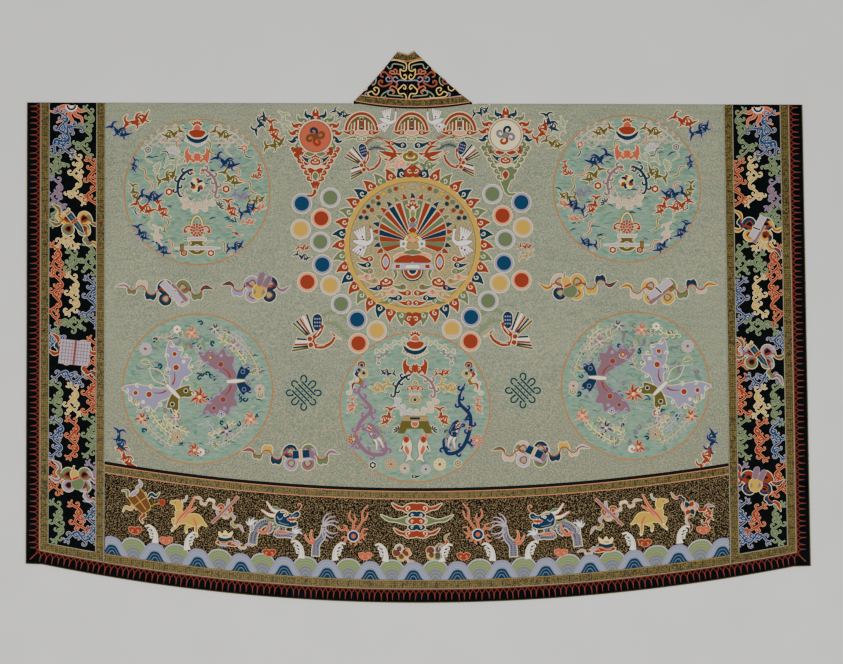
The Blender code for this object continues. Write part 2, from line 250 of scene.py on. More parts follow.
def length(name, description, default, **limits):
    """A size in metres that a user can change."""
    return bpy.props.FloatProperty(name=name, description=description, default=default, subtype="DISTANCE",
        unit="LENGTH", **limits)


def colour(name, description, code):
    """A colour that a user can change."""
    return bpy.props.FloatVectorProperty(name=name, description=description, subtype="COLOR", size=4, min=0,
        max=1, default=linear(code))


class VestmentSizes(bpy.types.PropertyGroup):
    """Mesh steps, cord and fringe sizes"""
    field_step: length("Field step", "Between two mesh points of the back field", 0.007, min=0.004)
    band_step: length("Band step", "Between two mesh points of a band or ribbon", 0.008, min=0.004)
    hidden_step: length("Hidden step", "Between two mesh points of the fronts", 0.020, min=0.01)
    cord: length("Cord radius", "Half the width of the pale edge cords", 0.0010, min=0.0005)
    lock_pitch: length("Lock pitch", "Between two locks of the fringe", 0.014, min=0.01)
    side_lock: length("Side lock", "Length of a fringe lock at the sides", 0.0245, min=0.01)
    hem_lock: length("Hem lock", "Length of a fringe lock at the hem", 0.028, min=0.01)


class VestmentColours(bpy.types.PropertyGroup):
    """Grounds and threads"""
    celadon: colour("Celadon", "Silk of the back field", "#7D8871")
    black: colour("Black", "Ground of the side bands and neckband", "#05090A")
    brown: colour("Brown", "Ground of the hem band", "#080705")
    gilt: colour("Gilt", "Thread of the gold ribbons", "#6B5B25")
    navy: colour("Navy", "Silk of the outer flange", "#04090C")
    floss: colour("Floss", "Silk of the knotted fringe", "#7F2C1B")


def sizes():
    """The sizes as the user has set them."""
    return bpy.context.scene.vestment_sizes


def colours():
    """The colours as the user has set them."""
    return bpy.context.scene.vestment_colours


# Materials: each is named for what the real one is


WAVE_SHARE = 0.314          # scale of a wave texture over the scale that its pitch gives
SHARE = 0                   # sockets of a Mix node: share, both colours, and the colour it gives
FIRST = 6
SECOND = 7
COLOUR = 2
FIRST_PLACE = 4             # and the same for places
SECOND_PLACE = 5
PLACE = 1
BAR_PITCH = 0.026           # the gold ribbon's thin bars: from one to the next, and their width
BAR_WIDTH = 0.0016
BAR_REACH = 0.28            # to each side of the ribbon's middle, as a share of its width


def tone(base, share, tint=(1.0, 1.0, 1.0)):
    """A lighter or darker tone of a colour."""
    return (*[min(1.0, c * share * t) for c, t in zip(base, tint)], 1.0)


def across(mm):
    """The scale of a pattern whose marks are this many millimetres across."""
    return 1000.0 / mm


def add(material, kind, inputs=None, stops=(), **settings):
    """Adds a node and gives its outputs: inputs are values or links, stops a ramp's colours."""
    made = material.node_tree.nodes.new("ShaderNode" + kind)
    for name, value in settings.items():
        setattr(made, name, value)
    for key, value in (inputs or {}).items():
        if isinstance(value, bpy.types.NodeSocket):
            material.node_tree.links.new(value, made.inputs[key])
        else:
            made.inputs[key].default_value = value
    if stops:
        elements = made.color_ramp.elements
        elements.remove(elements[1])
        elements[0].position, elements[0].color = stops[0]
        for position, colour in stops[1:]:
            elements.new(position).color = colour
    return made.outputs


def start(name, rough, sheen=0.0, base=(0.2, 0.2, 0.2, 1.0), gloss=0.2):
    """A new material, its shader and its places: silk reflects less than a polished surface."""
    material = bpy.data.materials.new(name)
    material.use_nodes = True
    shader = material.node_tree.nodes["Principled BSDF"]
    for key, value in (("Base Color", tuple(base)), ("Roughness", rough), ("IOR", 1.5),
            ("Specular IOR Level", gloss), ("Sheen Weight", sheen), ("Sheen Roughness", 0.4)):
        shader.inputs[key].default_value = value
    return material, shader, add(material, "TexCoord")["Object"]


def paint(material, shader, source):
    """Ends a material with this colour."""
    material.node_tree.links.new(source, shader.inputs["Base Color"])


def ribbed(material, shader, place, pitch=3.1, depth=0.0005):
    """Weft ribs across the warp, with uneven slubs: drawn at 3 mm, as the real ones are too fine."""
    ribs = add(material, "TexWave", {"Scale": WAVE_SHARE * across(pitch), "Distortion": 1.2, "Detail": 1.0,
        "Detail Scale": 2.0, "Vector": place}, wave_type="BANDS", bands_direction="Y")
    drawn = add(material, "Mapping", {"Scale": (0.25, 1.0, 1.0), "Vector": place})
    slubs = add(material, "TexNoise", {"Scale": across(pitch), "Detail": 3.0, "Vector": drawn[0]})
    height = add(material, "Mix", {SHARE: 0.6, FIRST: ribs["Color"], SECOND: slubs["Color"]},
        data_type="RGBA")
    bump = add(material, "Bump", {"Strength": 0.5, "Distance": depth, "Height": height[COLOUR]})
    material.node_tree.links.new(bump["Normal"], shader.inputs["Normal"])


def celadon_silk():
    """Silk tapestry in celadon with a gold filling thread: soft low gloss, flecked all over."""
    material, shader, place = start("celadon_silk_tapestry", 0.62, 0.1)
    base = colours().celadon
    clouds = add(material, "TexNoise", {"Scale": across(200), "Detail": 5.0, "Roughness": 0.6,
        "Vector": place})
    ground = add(material, "ValToRGB", {"Fac": clouds["Fac"]},
        ((0.36, tone(base, 0.84, (0.93, 1.0, 1.03))), (0.5, tuple(base)),
        (0.64, tone(base, 1.12, (1.06, 1.0, 0.97)))))
    # Wear shows as streaks along the weft, a hand's width long
    drawn = add(material, "Mapping", {"Scale": (1.0, 6.8, 1.0), "Vector": place})
    streaks = add(material, "TexNoise", {"Scale": across(67), "Detail": 4.0, "Roughness": 0.65,
        "Vector": drawn[0]})
    worn = add(material, "ValToRGB", {"Fac": streaks["Fac"]},
        ((0.34, tone(base, 0.66)), (0.60, tone(base, 1.16))))
    ground = add(material, "Mix", {SHARE: 0.42, FIRST: ground["Color"], SECOND: worn["Color"]},
        data_type="RGBA")
    # The lower part is darker and browner than the shoulders
    parts = add(material, "SeparateXYZ", {"Vector": place})
    down = add(material, "MapRange", {"Value": parts["Y"], "From Min": -0.05, "From Max": -0.27,
        "To Max": 0.85})
    ground = add(material, "Mix", {SHARE: down[0], FIRST: ground[COLOUR],
        SECOND: tone(base, 0.8, (1.04, 1.0, 0.97))}, data_type="RGBA")
    # The gold thread shows as flecks, drawn at 3 mm, which is coarser than the thread
    flecks = add(material, "TexNoise", {"Scale": across(3), "Detail": 3.0, "Roughness": 0.7,
        "Vector": place})
    dark = add(material, "ValToRGB", {"Fac": flecks["Fac"]},
        ((0.40, (1, 1, 1, 1)), (0.49, (0, 0, 0, 1))))
    gold = add(material, "ValToRGB", {"Fac": flecks["Fac"]},
        ((0.50, (0, 0, 0, 1)), (0.58, (1, 1, 1, 1))))
    shades = add(material, "TexNoise", {"Scale": across(8), "Detail": 2.0, "Vector": place})
    tint = add(material, "ValToRGB", {"Fac": shades["Fac"]},
        ((0.40, linear("#B2A981")), (0.56, linear("#B79B76"))))
    lit = add(material, "Mix", {SHARE: 0.66, FIRST: ground[COLOUR], SECOND: tint["Color"]},
        data_type="RGBA")
    deep = add(material, "Mix", {SHARE: 0.46, FIRST: ground[COLOUR], SECOND: linear("#43625A")},
        data_type="RGBA")
    mixed = add(material, "Mix", {SHARE: gold["Color"], FIRST: ground[COLOUR], SECOND: lit[COLOUR]},
        data_type="RGBA")
    mixed = add(material, "Mix", {SHARE: dark["Color"], FIRST: mixed[COLOUR], SECOND: deep[COLOUR]},
        data_type="RGBA")
    paint(material, shader, mixed[COLOUR])
    ribbed(material, shader, place, depth=0.0006)
    return material


def mottled(name, stops, rough, sheen, scale, stretch=(1.0, 1.0, 1.0), gloss=0.2):
    """Plain woven silk, uneven in tone at this scale, with close ribs."""
    material, shader, place = start(name, rough, sheen, gloss=gloss)
    drawn = add(material, "Mapping", {"Scale": stretch, "Vector": place})
    shade = add(material, "TexNoise", {"Scale": scale, "Detail": 3.0, "Roughness": 0.6,
        "Vector": drawn[0]})
    worn = add(material, "ValToRGB", {"Fac": shade["Fac"]}, stops)
    paint(material, shader, worn["Color"])
    ribbed(material, shader, place)
    return material


def black_silk():
    """Black silk tapestry ground, faintly blue, with a dull gloss."""
    base = colours().black
    stops = ((0.3, tone(base, 0.6)), (0.7, tone(base, 1.4)))
    return mottled("black_silk_tapestry", stops, 0.8, 0.0, across(17), gloss=0.05)


def navy_silk():
    """Plain dark blue silk of the flange, matt, a little rubbed."""
    base = colours().navy
    stops = ((0.3, tone(base, 0.6)), (0.7, tone(base, 1.6)))
    return mottled("navy_silk_twill", stops, 0.9, 0.0, across(33), gloss=0.05)


def medallion_silk():
    """Tan and gold tapestry inside the medallion, speckled like the field."""
    stops = ((0.40, linear("#74805F")), (0.47, linear("#857B55")), (0.58, linear("#B0975F")))
    return mottled("tan_silk_tapestry", stops, 0.62, 0.1, across(4))


def roundel_silk():
    """Turquoise ground of the roundels, with short wavy strokes in darker teal."""
    stops = ((0.30, linear("#4F7264")), (0.40, linear("#688872")), (0.54, linear("#759179")),
        (0.70, linear("#889C84")))
    return mottled("turquoise_silk_tapestry", stops, 0.62, 0.1, across(14), (1.0, 2.7, 1.0))


def brown_silk():
    """Dark brown tapestry with a small wandering fret in dull gold thread."""
    material, shader, place = start("brown_silk_tapestry", 0.75, gloss=0.05)
    swirl = add(material, "TexNoise", {"Scale": across(6.2), "Detail": 1.0, "Vector": place})
    bent = add(material, "Mix", {SHARE: 0.005, FIRST_PLACE: place, SECOND_PLACE: swirl["Color"]},
        data_type="VECTOR")
    cells = add(material, "TexVoronoi", {"Scale": across(4), "Vector": bent[PLACE]},
        feature="DISTANCE_TO_EDGE")
    worm = add(material, "ValToRGB", {"Fac": cells["Distance"]},
        ((0.095, linear("#877350")), (0.16, tuple(colours().brown))))
    gaps = add(material, "TexNoise", {"Scale": across(3.3), "Detail": 1.0, "Vector": place})
    broken = add(material, "ValToRGB", {"Fac": gaps["Fac"]},
        ((0.48, (0, 0, 0, 1)), (0.53, (1, 1, 1, 1))))
    mixed = add(material, "Mix", {SHARE: broken["Color"], FIRST: tuple(colours().brown),
        SECOND: worm["Color"]}, data_type="RGBA")
    paint(material, shader, mixed[COLOUR])
    ribbed(material, shader, place)
    return material


def gold_ribbon():
    """Narrow woven ribbon of gilt thread over dark silk: a fret of T shapes and small specks."""
    material, shader, place = start("gilt_thread_ribbon", 0.5, 0.05)
    shader.inputs["Metallic"].default_value = 0.15
    weave = add(material, "UVMap", uv_map="weave")["UV"]
    parts = add(material, "SeparateXYZ", {"Vector": weave})
    # A thin dark bar crosses the ribbon at even steps
    cycle = add(material, "Math", {0: parts["X"], 1: BAR_PITCH}, operation="FLOORED_MODULO")
    thin = add(material, "Math", {0: cycle[0], 1: BAR_WIDTH}, operation="LESS_THAN")
    inside = add(material, "Math", {0: parts["Y"], 1: 0.5, 2: BAR_REACH}, operation="COMPARE")
    bar = add(material, "Math", {0: thin[0], 1: inside[0]}, operation="MULTIPLY")
    # The fret between the bars is drawn at 5 mm, twice as coarse as the real one
    cells = add(material, "TexVoronoi", {"Scale": across(4.8), "Randomness": 0.5, "Vector": place},
        feature="DISTANCE_TO_EDGE")
    fret = add(material, "ValToRGB", {"Fac": cells["Distance"]},
        ((0.06, (0.85, 0.85, 0.85, 1)), (0.14, (0, 0, 0, 1))))
    specks = add(material, "TexNoise", {"Scale": across(3), "Detail": 3.0, "Vector": place})
    dots = add(material, "ValToRGB", {"Fac": specks["Fac"]},
        ((0.40, (0.8, 0.8, 0.8, 1)), (0.46, (0, 0, 0, 1))))
    marks = add(material, "Math", {0: fret["Color"], 1: dots["Color"]}, operation="MAXIMUM")
    marks = add(material, "Math", {0: marks[0], 1: bar[0]}, operation="MAXIMUM")
    shade = add(material, "TexNoise", {"Scale": across(22), "Detail": 4.0, "Vector": place})
    gold = add(material, "ValToRGB", {"Fac": shade["Fac"]},
        ((0.3, tone(colours().gilt, 0.85)), (0.7, tone(colours().gilt, 1.25))))
    mixed = add(material, "Mix", {SHARE: marks[0], FIRST: gold["Color"], SECOND: linear("#0C0701")},
        data_type="RGBA")
    paint(material, shader, mixed[COLOUR])
    ribbed(material, shader, place, 2.8)
    return material


def red_floss():
    """Untwisted red silk floss, knotted: matt, uneven in tone."""
    base = colours().floss
    stops = ((0.3, tone(base, 0.65)), (0.7, tone(base, 1.4)))
    return mottled("red_silk_floss", stops, 0.75, 0.3, across(2.8), (1.0, 1.0, 3.3))


# Dyes of the woven motifs. Each keeps one plain colour, so that its edge stays crisp, and its
# weft ribs give it light and shade, as in tapestry, where a tone changes only at a slit.
DYES = {
    "navy": "#062A42", "blue": "#0A3550", "azure": "#123C5E", "sky": "#5E6E80", "haze": "#7C8496",
    "lavender": "#8A829A", "red": "#86301A", "rose": "#B3553A", "pink": "#D48C67",
    "green": "#5D6A48", "moss": "#707F51", "jade": "#537D6B", "yellow": "#BE9538",
    "straw": "#E6CC74", "gold": "#745E22", "cream": "#DCCCA0", "white": "#E2DDCE",
    "grey": "#6C6A6F", "orange": "#B16A29", "brown": "#643E21", "ink": "#05080C", "tan": "#9B7F4F",
    "plum": "#795B62", "olive": "#574F21", "sage": "#879472", "linen": "#8F8A77",
    "blush": "#C0A58B", "lilac": "#A99FA8",
}


def dyed_silk(dye):
    """Dyed silk weft of one tone: matt, with close ribs across the warp."""
    material, shader, place = start(f"silk_weft_{dye}", 0.7, 0.0, linear(DYES[dye]), 0.1)
    ribbed(material, shader, place)
    return material


SILKS = {}


def silk(maker, *words):
    """The material that a maker gives, made only once."""
    key = (maker.__name__, *words)
    if key not in SILKS:
        SILKS[key] = maker(*words)
    return SILKS[key]


# Pieces: a primitive is shaped to the pattern and given its wall


SMOOTH_ANGLE = 40           # degrees: sharper edges than this stay sharp
FIELD_SHARE = 0.8           # about how much of the robe's length the field takes
BAND_SHARE = 0.93           # and how much its side bands take
RIBBON_ROWS = 3             # rows of mesh across a ribbon
FLANGE_ROWS = 4
NECK_WIDTH = 0.13
NECK_STANDS = 0.12          # from the centre-back seam to the neckband's diagonal fold
NECK_HANGS = 1.1            # from that fold down the front
NECK_FOLD_STEPS = 8
NECK_TURN_STEPS = 6         # from the fold to the neckband's level part
NECK_RIBBON_STEPS = 24


def grid_piece(name, points, weave=None, hole=None):
    """A sheet from a primitive grid moved to rows of points, which run down and to the right."""
    rows, columns = points.shape[:2]
    bpy.ops.object.select_all(action="DESELECT")
    bpy.ops.mesh.primitive_grid_add(x_subdivisions=columns - 1, y_subdivisions=rows - 1)
    made = bpy.context.object
    made.name = made.data.name = name
    made.data.vertices.foreach_set("co", points[::-1].reshape(-1))
    layer = made.data.uv_layers[0]
    layer.name = "weave"
    if weave is not None:
        corner = np.empty(len(made.data.loops), int)
        made.data.loops.foreach_get("vertex_index", corner)
        layer.uv.foreach_set("vector", weave[::-1].reshape(-1, 2)[corner].reshape(-1))
    if hole is not None:
        sheet = bmesh.new()
        sheet.from_mesh(made.data)
        sheet.faces.ensure_lookup_table()
        gone = [sheet.faces[i] for i in np.flatnonzero(hole[::-1].reshape(-1))]
        bmesh.ops.delete(sheet, geom=gone, context="FACES")
        sheet.to_mesh(made.data)
        sheet.free()
    made.data.update()
    return made


def wall(made, thickness):
    """Gives a sheet its thickness under its upper face."""
    bpy.ops.object.modifier_add(type="SOLIDIFY")
    added = made.modifiers[-1]
    added.thickness = thickness
    added.offset = -1
    added.use_even_offset = True
    bpy.ops.object.modifier_apply(modifier=added.name)


def finish_piece(made, material, nodes=()):
    """Material, smooth shading, body and the CAD nodes that a piece stands for."""
    made.data.materials.clear()
    made.data.materials.append(material)
    bpy.ops.object.select_all(action="DESELECT")
    made.select_set(True)
    bpy.context.view_layer.objects.active = made
    bpy.ops.object.shade_smooth_by_angle(angle=math.radians(SMOOTH_ANGLE))
    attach(made, "root")
    if nodes:
        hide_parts(*nodes)
    return made


def shell(name, points, thickness, material, weave=None, hole=None):
    """A cloth piece that stands for the CAD node of its own name."""
    made = grid_piece(name, points, weave, hole)
    wall(made, thickness)
    return finish_piece(made, material, [name])


def mirrored(side, first, last, step):
    """Columns across a piece on this side, from left to right, about this far apart."""
    steps = max(1, round(abs(last - first) / step))
    return sorted(side * x for x in spread(first, last, steps))


def crest_line(x):
    """Upper edge of the back pieces."""
    return np.full(np.shape(x), CREST)


def front_line(x):
    """Upper edge of the front pieces."""
    return np.full(np.shape(x), FRONT_START)


def seam_above_hem(x):
    """Lower edge of the field, clear of its seam."""
    return hem_seam(x) + SEAM / 2


def seam_below_field(x):
    """Upper edge of the hem band, clear of its seam."""
    return hem_seam(x) - SEAM / 2


def hem_line(x):
    """Lower edge of the robe's cloth, clear of its seam."""
    return hem_edge(x) + SEAM / 2


def side_flange_foot(x):
    """Mitred lower end of a side flange."""
    past = np.abs(x) - HALF_WIDTH
    return hem_edge(HALF_WIDTH) - past + SEAM + 0 * x


def folded(columns, rows, bottom):
    """Points of a back piece that runs over the shoulder fold along its whole upper edge."""
    x, y = between(columns, rows, crest_line, bottom)
    return np.concatenate([over_fold(columns), at(x, y)])


def build_back_field():
    """The celadon field of the back, over the shoulder fold, cut out for the neckband."""
    fine = sizes().field_step
    edge = SEAM_X - SEAM / 2
    side_steps = round((edge - NECK_HALF) / fine)
    columns = spread(-edge, -NECK_HALF, side_steps)
    columns += spread(-NECK_HALF, NECK_HALF, round(2 * NECK_HALF / fine))[1:]
    columns += spread(NECK_HALF, edge, side_steps)[1:]

    def top(x):
        return np.minimum(CREST, neckline(x) - SEAM)

    fold = over_fold(columns)
    x, y = between(columns, round(HEM_CENTRE * FIELD_SHARE / fine), top, seam_above_hem)
    points = np.concatenate([fold, at(x, y)])
    middle = np.abs(np.add(columns[1:], columns[:-1])) / 2
    hole = np.zeros((len(points) - 1, len(middle)), bool)
    hole[:len(fold)] = middle < NECK_HALF
    shell("back_field", points, CLOTH, silk(celadon_silk), hole=hole)


def build_back_bands():
    """The black bands down both sides of the back."""
    fine = sizes().band_step
    material = silk(black_silk)
    rows = round(HEM_CENTRE * BAND_SHARE / fine)
    for label, side in SIDES:
        columns = mirrored(side, SEAM_X + SEAM / 2, HALF_WIDTH - SEAM / 2, fine)
        points = folded(columns, rows, hem_line)
        shell(f"back_band_{label}", points, CLOTH, material)


def build_hem_band():
    """The brown band along the hem."""
    fine = sizes().band_step
    edge = SEAM_X - SEAM / 2
    columns = spread(-edge, edge, round(2 * edge / fine))
    x, y = between(columns, round(HEM_DEPTH / fine), seam_below_field, hem_line)
    shell("back_hem_band", at(x, y), CLOTH, silk(brown_silk))


def ribbon(name, columns, rows, top, bottom, material, along_x):
    """A gold ribbon on the back, with its weave's run and width as UV."""
    x, y = between(columns, rows, top, bottom)
    down = np.linspace(0, 1, rows + 1)[:, None] + 0 * x
    across = (x - x.min()) / (x.max() - x.min())
    weave = np.stack([x, down] if along_x else [-y, across], -1)
    points = at(x, y, SEAM + BRAID)
    shell(name, points, BRAID, material, weave)


def build_ribbons():
    """Gold ribbons round the side bands, mitred at the foot, and along the hem."""
    fine = sizes().band_step
    material = silk(gold_ribbon)
    rows = round(HEM_CENTRE / fine)
    for label, side in SIDES:

        def outer_foot(x):
            return hem_edge(x) + np.abs(np.abs(x) - HALF_WIDTH) + SEAM

        def inner_foot(x):
            return hem_edge(x) + np.abs(np.abs(x) - INNER_RIBBON_X) + SEAM

        for place, near, foot in (("outer", OUTER_RIBBON_X, outer_foot),
                ("inner", INNER_RIBBON_X, inner_foot)):
            columns = mirrored(side, near, near + RIBBON, fine)
            ribbon(f"ribbon_{place}_{label}", columns, rows, crest_line, foot, material, False)
        steps = round(SIDE_PANEL / fine)
        upper = mirrored(side, INNER_RIBBON_X + RIBBON, OUTER_RIBBON_X, SIDE_PANEL / steps)
        lower = np.linspace(min(side * INNER_RIBBON_X, side * HALF_WIDTH),
            max(side * INNER_RIBBON_X, side * HALF_WIDTH), len(upper))
        down = np.linspace(0, 1, RIBBON_ROWS + 1)[:, None]
        x = mix(np.asarray(upper), lower, down)
        y = mix(hem_edge(np.asarray(upper)) + RIBBON, hem_edge(lower), down)
        weave = np.stack([x, down + 0 * x], -1)
        name = f"ribbon_foot_{label}"
        shell(name, at(x, y, SEAM + BRAID), BRAID, material, weave)
    edge = INNER_RIBBON_X - SEAM
    columns = spread(-edge, edge, round(2 * edge / fine))

    def upper_top(x):
        return hem_edge(x) + HEM_DEPTH - HEM_PIPING_AND_SHADOW

    def upper_bottom(x):
        return upper_top(x) - HEM_UPPER_RIBBON

    def lower_top(x):
        return hem_edge(x) + RIBBON

    ribbon("ribbon_hem_upper", columns, RIBBON_ROWS, upper_top, upper_bottom, material, True)
    ribbon("ribbon_hem_lower", columns, RIBBON_ROWS, lower_top, hem_edge, material, True)


def build_flanges():
    """Navy border outside the ribbons, down both sides and along the hem."""
    fine = sizes().band_step
    material = silk(navy_silk)
    for label, side in SIDES:
        columns = mirrored(side, HALF_WIDTH + SEAM / 2, HALF_WIDTH + FLANGE, fine)
        points = folded(columns, round(HEM_CENTRE / fine), side_flange_foot)
        shell(f"border_{label}", points, CLOTH, material)
    x, y = hem_flange_places(HALF_WIDTH + SEAM, -HALF_WIDTH - SEAM, FLANGE, fine)
    shell("border_hem", at(x, y), CLOTH, material)


def hem_flange_places(last, first, width, fine):
    """Pattern places of a flange below the hem, mitred where it ends at a corner."""
    columns = np.linspace(first, last, round((last - first) / fine) + 1)
    at_corner = np.abs(np.abs(columns) - (HALF_WIDTH + SEAM)) < SEAM
    reach = np.where(at_corner, np.sign(columns) * (width - SEAM), 0.0)
    down = np.linspace(0, 1, FLANGE_ROWS + 1)[:, None]
    x = columns + reach * down
    y = mix(hem_edge(columns) - SEAM / 2, hem_edge(columns) - width, down)
    return x, y


def strip_inner(fold, y):
    """Free edge of a neckband down its front, at this height."""
    settled = float(smooth(-y / STRIP_SETTLES))
    return mix(fold["top_x"], fold["side"] * STRIP_INNER, settled)


def neck_point(fold, along, across):
    """A point of the neckband where it stands above the back neckline."""
    seam_x = NECK_SEAM_X + fold["side"] * SEAM / 2
    seam_y = mix(neckline(seam_x), NECK_SEAM_TOP, across)
    tip_y = neckline(fold["tip_x"])
    x = mix(seam_x, mix(fold["tip_x"], fold["top_x"], across), along)
    y = mix(seam_y, mix(tip_y, fold["top_y"], across), along)
    straight = mix(neckline(seam_x), tip_y, along)
    return x, y + (1 - across) * (neckline(x) - straight)


def fold_normal(fold):
    """Direction in the plane that points out of the neckband's diagonal fold."""
    run = fold["top_x"] - fold["tip_x"]
    rise = fold["top_y"] - neckline(fold["tip_x"])
    size = math.hypot(run, rise)
    return fold["side"] * rise / size, abs(run) / size


def standing(fold, along, across):
    """Pattern place on the standing neckband, whose end stops short of its diagonal fold."""
    x, y = neck_point(fold, along, across)
    return x - FOLD_RADIUS / fold_normal(fold)[0] * along, y


def standing_rows(fold, places, steps, height):
    """Points on the standing neckband, in rows along it."""
    rows = []
    for along in spread(0, 1, steps):
        line = [standing(fold, along, across) for across in places]
        rows.append([(*neck_world(x, y), height) for x, y in line])
    return rows


def neck_world(x, y):
    """The neckband isn't flared: it lies as drawn."""
    return float(x + SHIFT_X), float(y + SHIFT_Y)


def strip_row(fold, places, height_of):
    """One row of points across the neckband down a front; height_of gives y over x."""
    line = []
    for across in places:
        x = mix(fold["tip_x"], strip_inner(fold, height_of(0)), across)
        y = height_of(x)
        world_x, world_y = lay(x, y)
        line.append((float(world_x), float(world_y), 0.0))
    return line


def build_neckbands():
    """Each half in one piece: standing at the back, turned under, and down its front."""
    fine = sizes().field_step
    material = silk(black_silk)
    places = spread(0, 1, round(NECK_WIDTH / fine))
    level_y = FRONT_START - NECK_TURN
    for label, fold in NECK_FOLDS.items():
        nx, ny = fold_normal(fold)
        rows = standing_rows(fold, places, round(NECK_STANDS / fine), BACK_TOP)
        crest = rows[-1]
        for turn in spread(90, -90, NECK_FOLD_STEPS)[1:]:
            out = FOLD_RADIUS * math.cos(math.radians(turn))
            z = FOLD_RADIUS * (1 + math.sin(math.radians(turn)))
            rows.append([(x + nx * out, y + ny * out, z) for x, y, _ in crest])
        turned = rows[-1]
        first = strip_row(fold, places, lambda x: level_y)
        for t in spread(0, 1, NECK_TURN_STEPS)[1:]:
            pairs = zip(turned, first)
            rows.append([(mix(a[0], b[0], t), mix(a[1], b[1], t), 0.0) for a, b in pairs])
        for t in spread(0, 1, round(NECK_HANGS / (2 * fine)))[1:]:
            rows.append(strip_row(fold, places, lambda x: mix(level_y, hem_edge(x), t)))
        if fold["side"] < 0:
            rows = [row[::-1] for row in rows]
        shell(f"neckband_{label}", np.array(rows), CLOTH, material)


def build_neck_ribbons():
    """Gold ribbons along the lower and upper edge of the standing neckband."""
    material = silk(gold_ribbon)
    width = NECK_SEAM_TOP - neckline(NECK_SEAM_X)
    edges = {"lower": (NECK_EDGE, NECK_EDGE + NECK_LOWER_RIBBON),
        "upper": (width - NECK_UPPER_EDGE - NECK_UPPER_RIBBON, width - NECK_UPPER_EDGE)}
    for label, fold in NECK_FOLDS.items():
        for place, (low, high) in edges.items():
            places = [mix(low, high, t) / width for t in spread(0, 1, RIBBON_ROWS)]
            rows = standing_rows(fold, places, NECK_RIBBON_STEPS, BACK_TOP + SEAM + BRAID)
            points = np.array(rows)
            across = np.tile(spread(0, 1, RIBBON_ROWS), (NECK_RIBBON_STEPS + 1, 1))
            weave = np.stack([points[..., 0], across], -1)
            if fold["side"] < 0:
                points, weave = points[:, ::-1], weave[:, ::-1]
            name = f"neck_ribbon_{place}_{label}"
            shell(name, points, BRAID, material, weave)


def build_fronts():
    """Each front lies between its neckband and its side band, under the back."""
    fine = sizes().hidden_step
    makers = (celadon_silk, brown_silk, black_silk, navy_silk)
    celadon, brown, black, navy = [silk(maker) for maker in makers]
    for label, side in SIDES:
        start_x = abs(NECK_FOLDS[label]["tip_x"]) + SEAM
        rows = round(HEM_CENTRE / fine)
        columns = mirrored(side, start_x, SEAM_X - SEAM / 2, fine)
        x, y = between(columns, rows, front_line, seam_above_hem)
        shell(f"front_field_{label}", level(x, y, CLOTH), CLOTH, celadon)
        x, y = between(columns, round(HEM_DEPTH / fine), seam_below_field, hem_line)
        shell(f"front_hem_{label}", level(x, y, CLOTH), CLOTH, brown)
        columns = mirrored(side, SEAM_X + SEAM / 2, HALF_WIDTH - SEAM / 2, fine)
        x, y = between(columns, rows, front_line, hem_line)
        shell(f"front_band_{label}", level(x, y, CLOTH), CLOTH, black)
        width = FLANGE - FRONT_INSET
        columns = mirrored(side, HALF_WIDTH + SEAM / 2, HALF_WIDTH + width, fine)
        x, y = between(columns, rows, front_line, side_flange_foot)
        shell(f"front_border_{label}", level(x, y, CLOTH), CLOTH, navy)
        first, last = sorted((side * start_x, side * (HALF_WIDTH + SEAM)))
        x, y = hem_flange_places(last, first, width, fine)
        name = f"front_border_hem_{label}"
        shell(name, level(x, y, CLOTH), CLOTH, navy)


# Needlework: faces collected in the plane of the robe, then laid on the back


UNIT = 0.0024               # motifs are drawn in steps of 2.4 mm, x right and y down
ORIGIN_X = 414.0            # the middle of the robe and its shoulder fold, in those steps
ORIGIN_Y = 103.5
PLY = 0.00012               # how much a thread lies above the one under it
HAIR = 0.000002             # how much one piece of a layer lies above the piece before it
HAIRS = 40                  # after this many pieces the layer starts again from its lowest
MOTIF_LIFT = 0.00045        # the lowest threads of a motif, above the ground
GROUND_LIFT = 0.0003        # the ground of a roundel or the medallion, above the field


class Work:
    """Collects faces for one piece: places in metres, height above the back, and dye."""

    def __init__(self, lift=MOTIF_LIFT):
        self.lift = lift
        self.places = []
        self.heights = []
        self.faces = []
        self.dyes = []
        self.count = 0

    def add(self, places, heights, faces, dye):
        """places is (n, 2) as laid, heights one number or n, faces (m, k) or a list."""
        places = np.asarray(places, float)
        self.places.append(places)
        hair = HAIR * (len(self.places) % HAIRS)
        self.heights.append(np.broadcast_to(np.asarray(heights, float) + hair, (len(places),)))
        for face in faces:
            self.faces.append([int(i) + self.count for i in face])
            self.dyes.append(dye)
        self.count += len(places)

    def strip(self, left, right, heights, dye):
        """A strip of quads between two lines with as many points."""
        size = len(left)
        i = np.arange(size - 1)
        faces = np.stack([i, i + 1, i + 1 + size, i + size], -1)
        self.add(np.concatenate([left, right]), heights, faces, dye)

    def finish(self, name, makers=None):
        """One mesh with a material for each dye, faces up."""
        places = np.concatenate(self.places)
        x, y = places[:, 0], places[:, 1]
        down = np.maximum(0.0, -y / (HEM_CENTRE - HEM_RISE))
        pattern_x = np.where(x > 0, x / (1 + FLARE * down), x)
        z = back_surface(pattern_x, y) + self.lift + np.concatenate(self.heights)
        points = np.stack([x + SHIFT_X, y + SHIFT_Y, z], -1)
        faces = [face if area_of(places[face]) > 0 else face[::-1] for face in self.faces]
        mesh = bpy.data.meshes.new(name)
        mesh.from_pydata(points.tolist(), [], faces)
        made = bpy.data.objects.new(name, mesh)
        bpy.context.collection.objects.link(made)
        order = sorted(set(self.dyes))
        for dye in order:
            mesh.materials.append(silk(makers[dye]) if makers else silk(dyed_silk, dye))
        mesh.polygons.foreach_set("material_index", [order.index(d) for d in self.dyes])
        mesh.update()
        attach(made, "root")
        return made


def area_of(corners):
    """Twice the signed area of a polygon."""
    x, y = corners[:, 0], corners[:, 1]
    return float(np.sum(x * np.roll(y, -1) - np.roll(x, -1) * y))


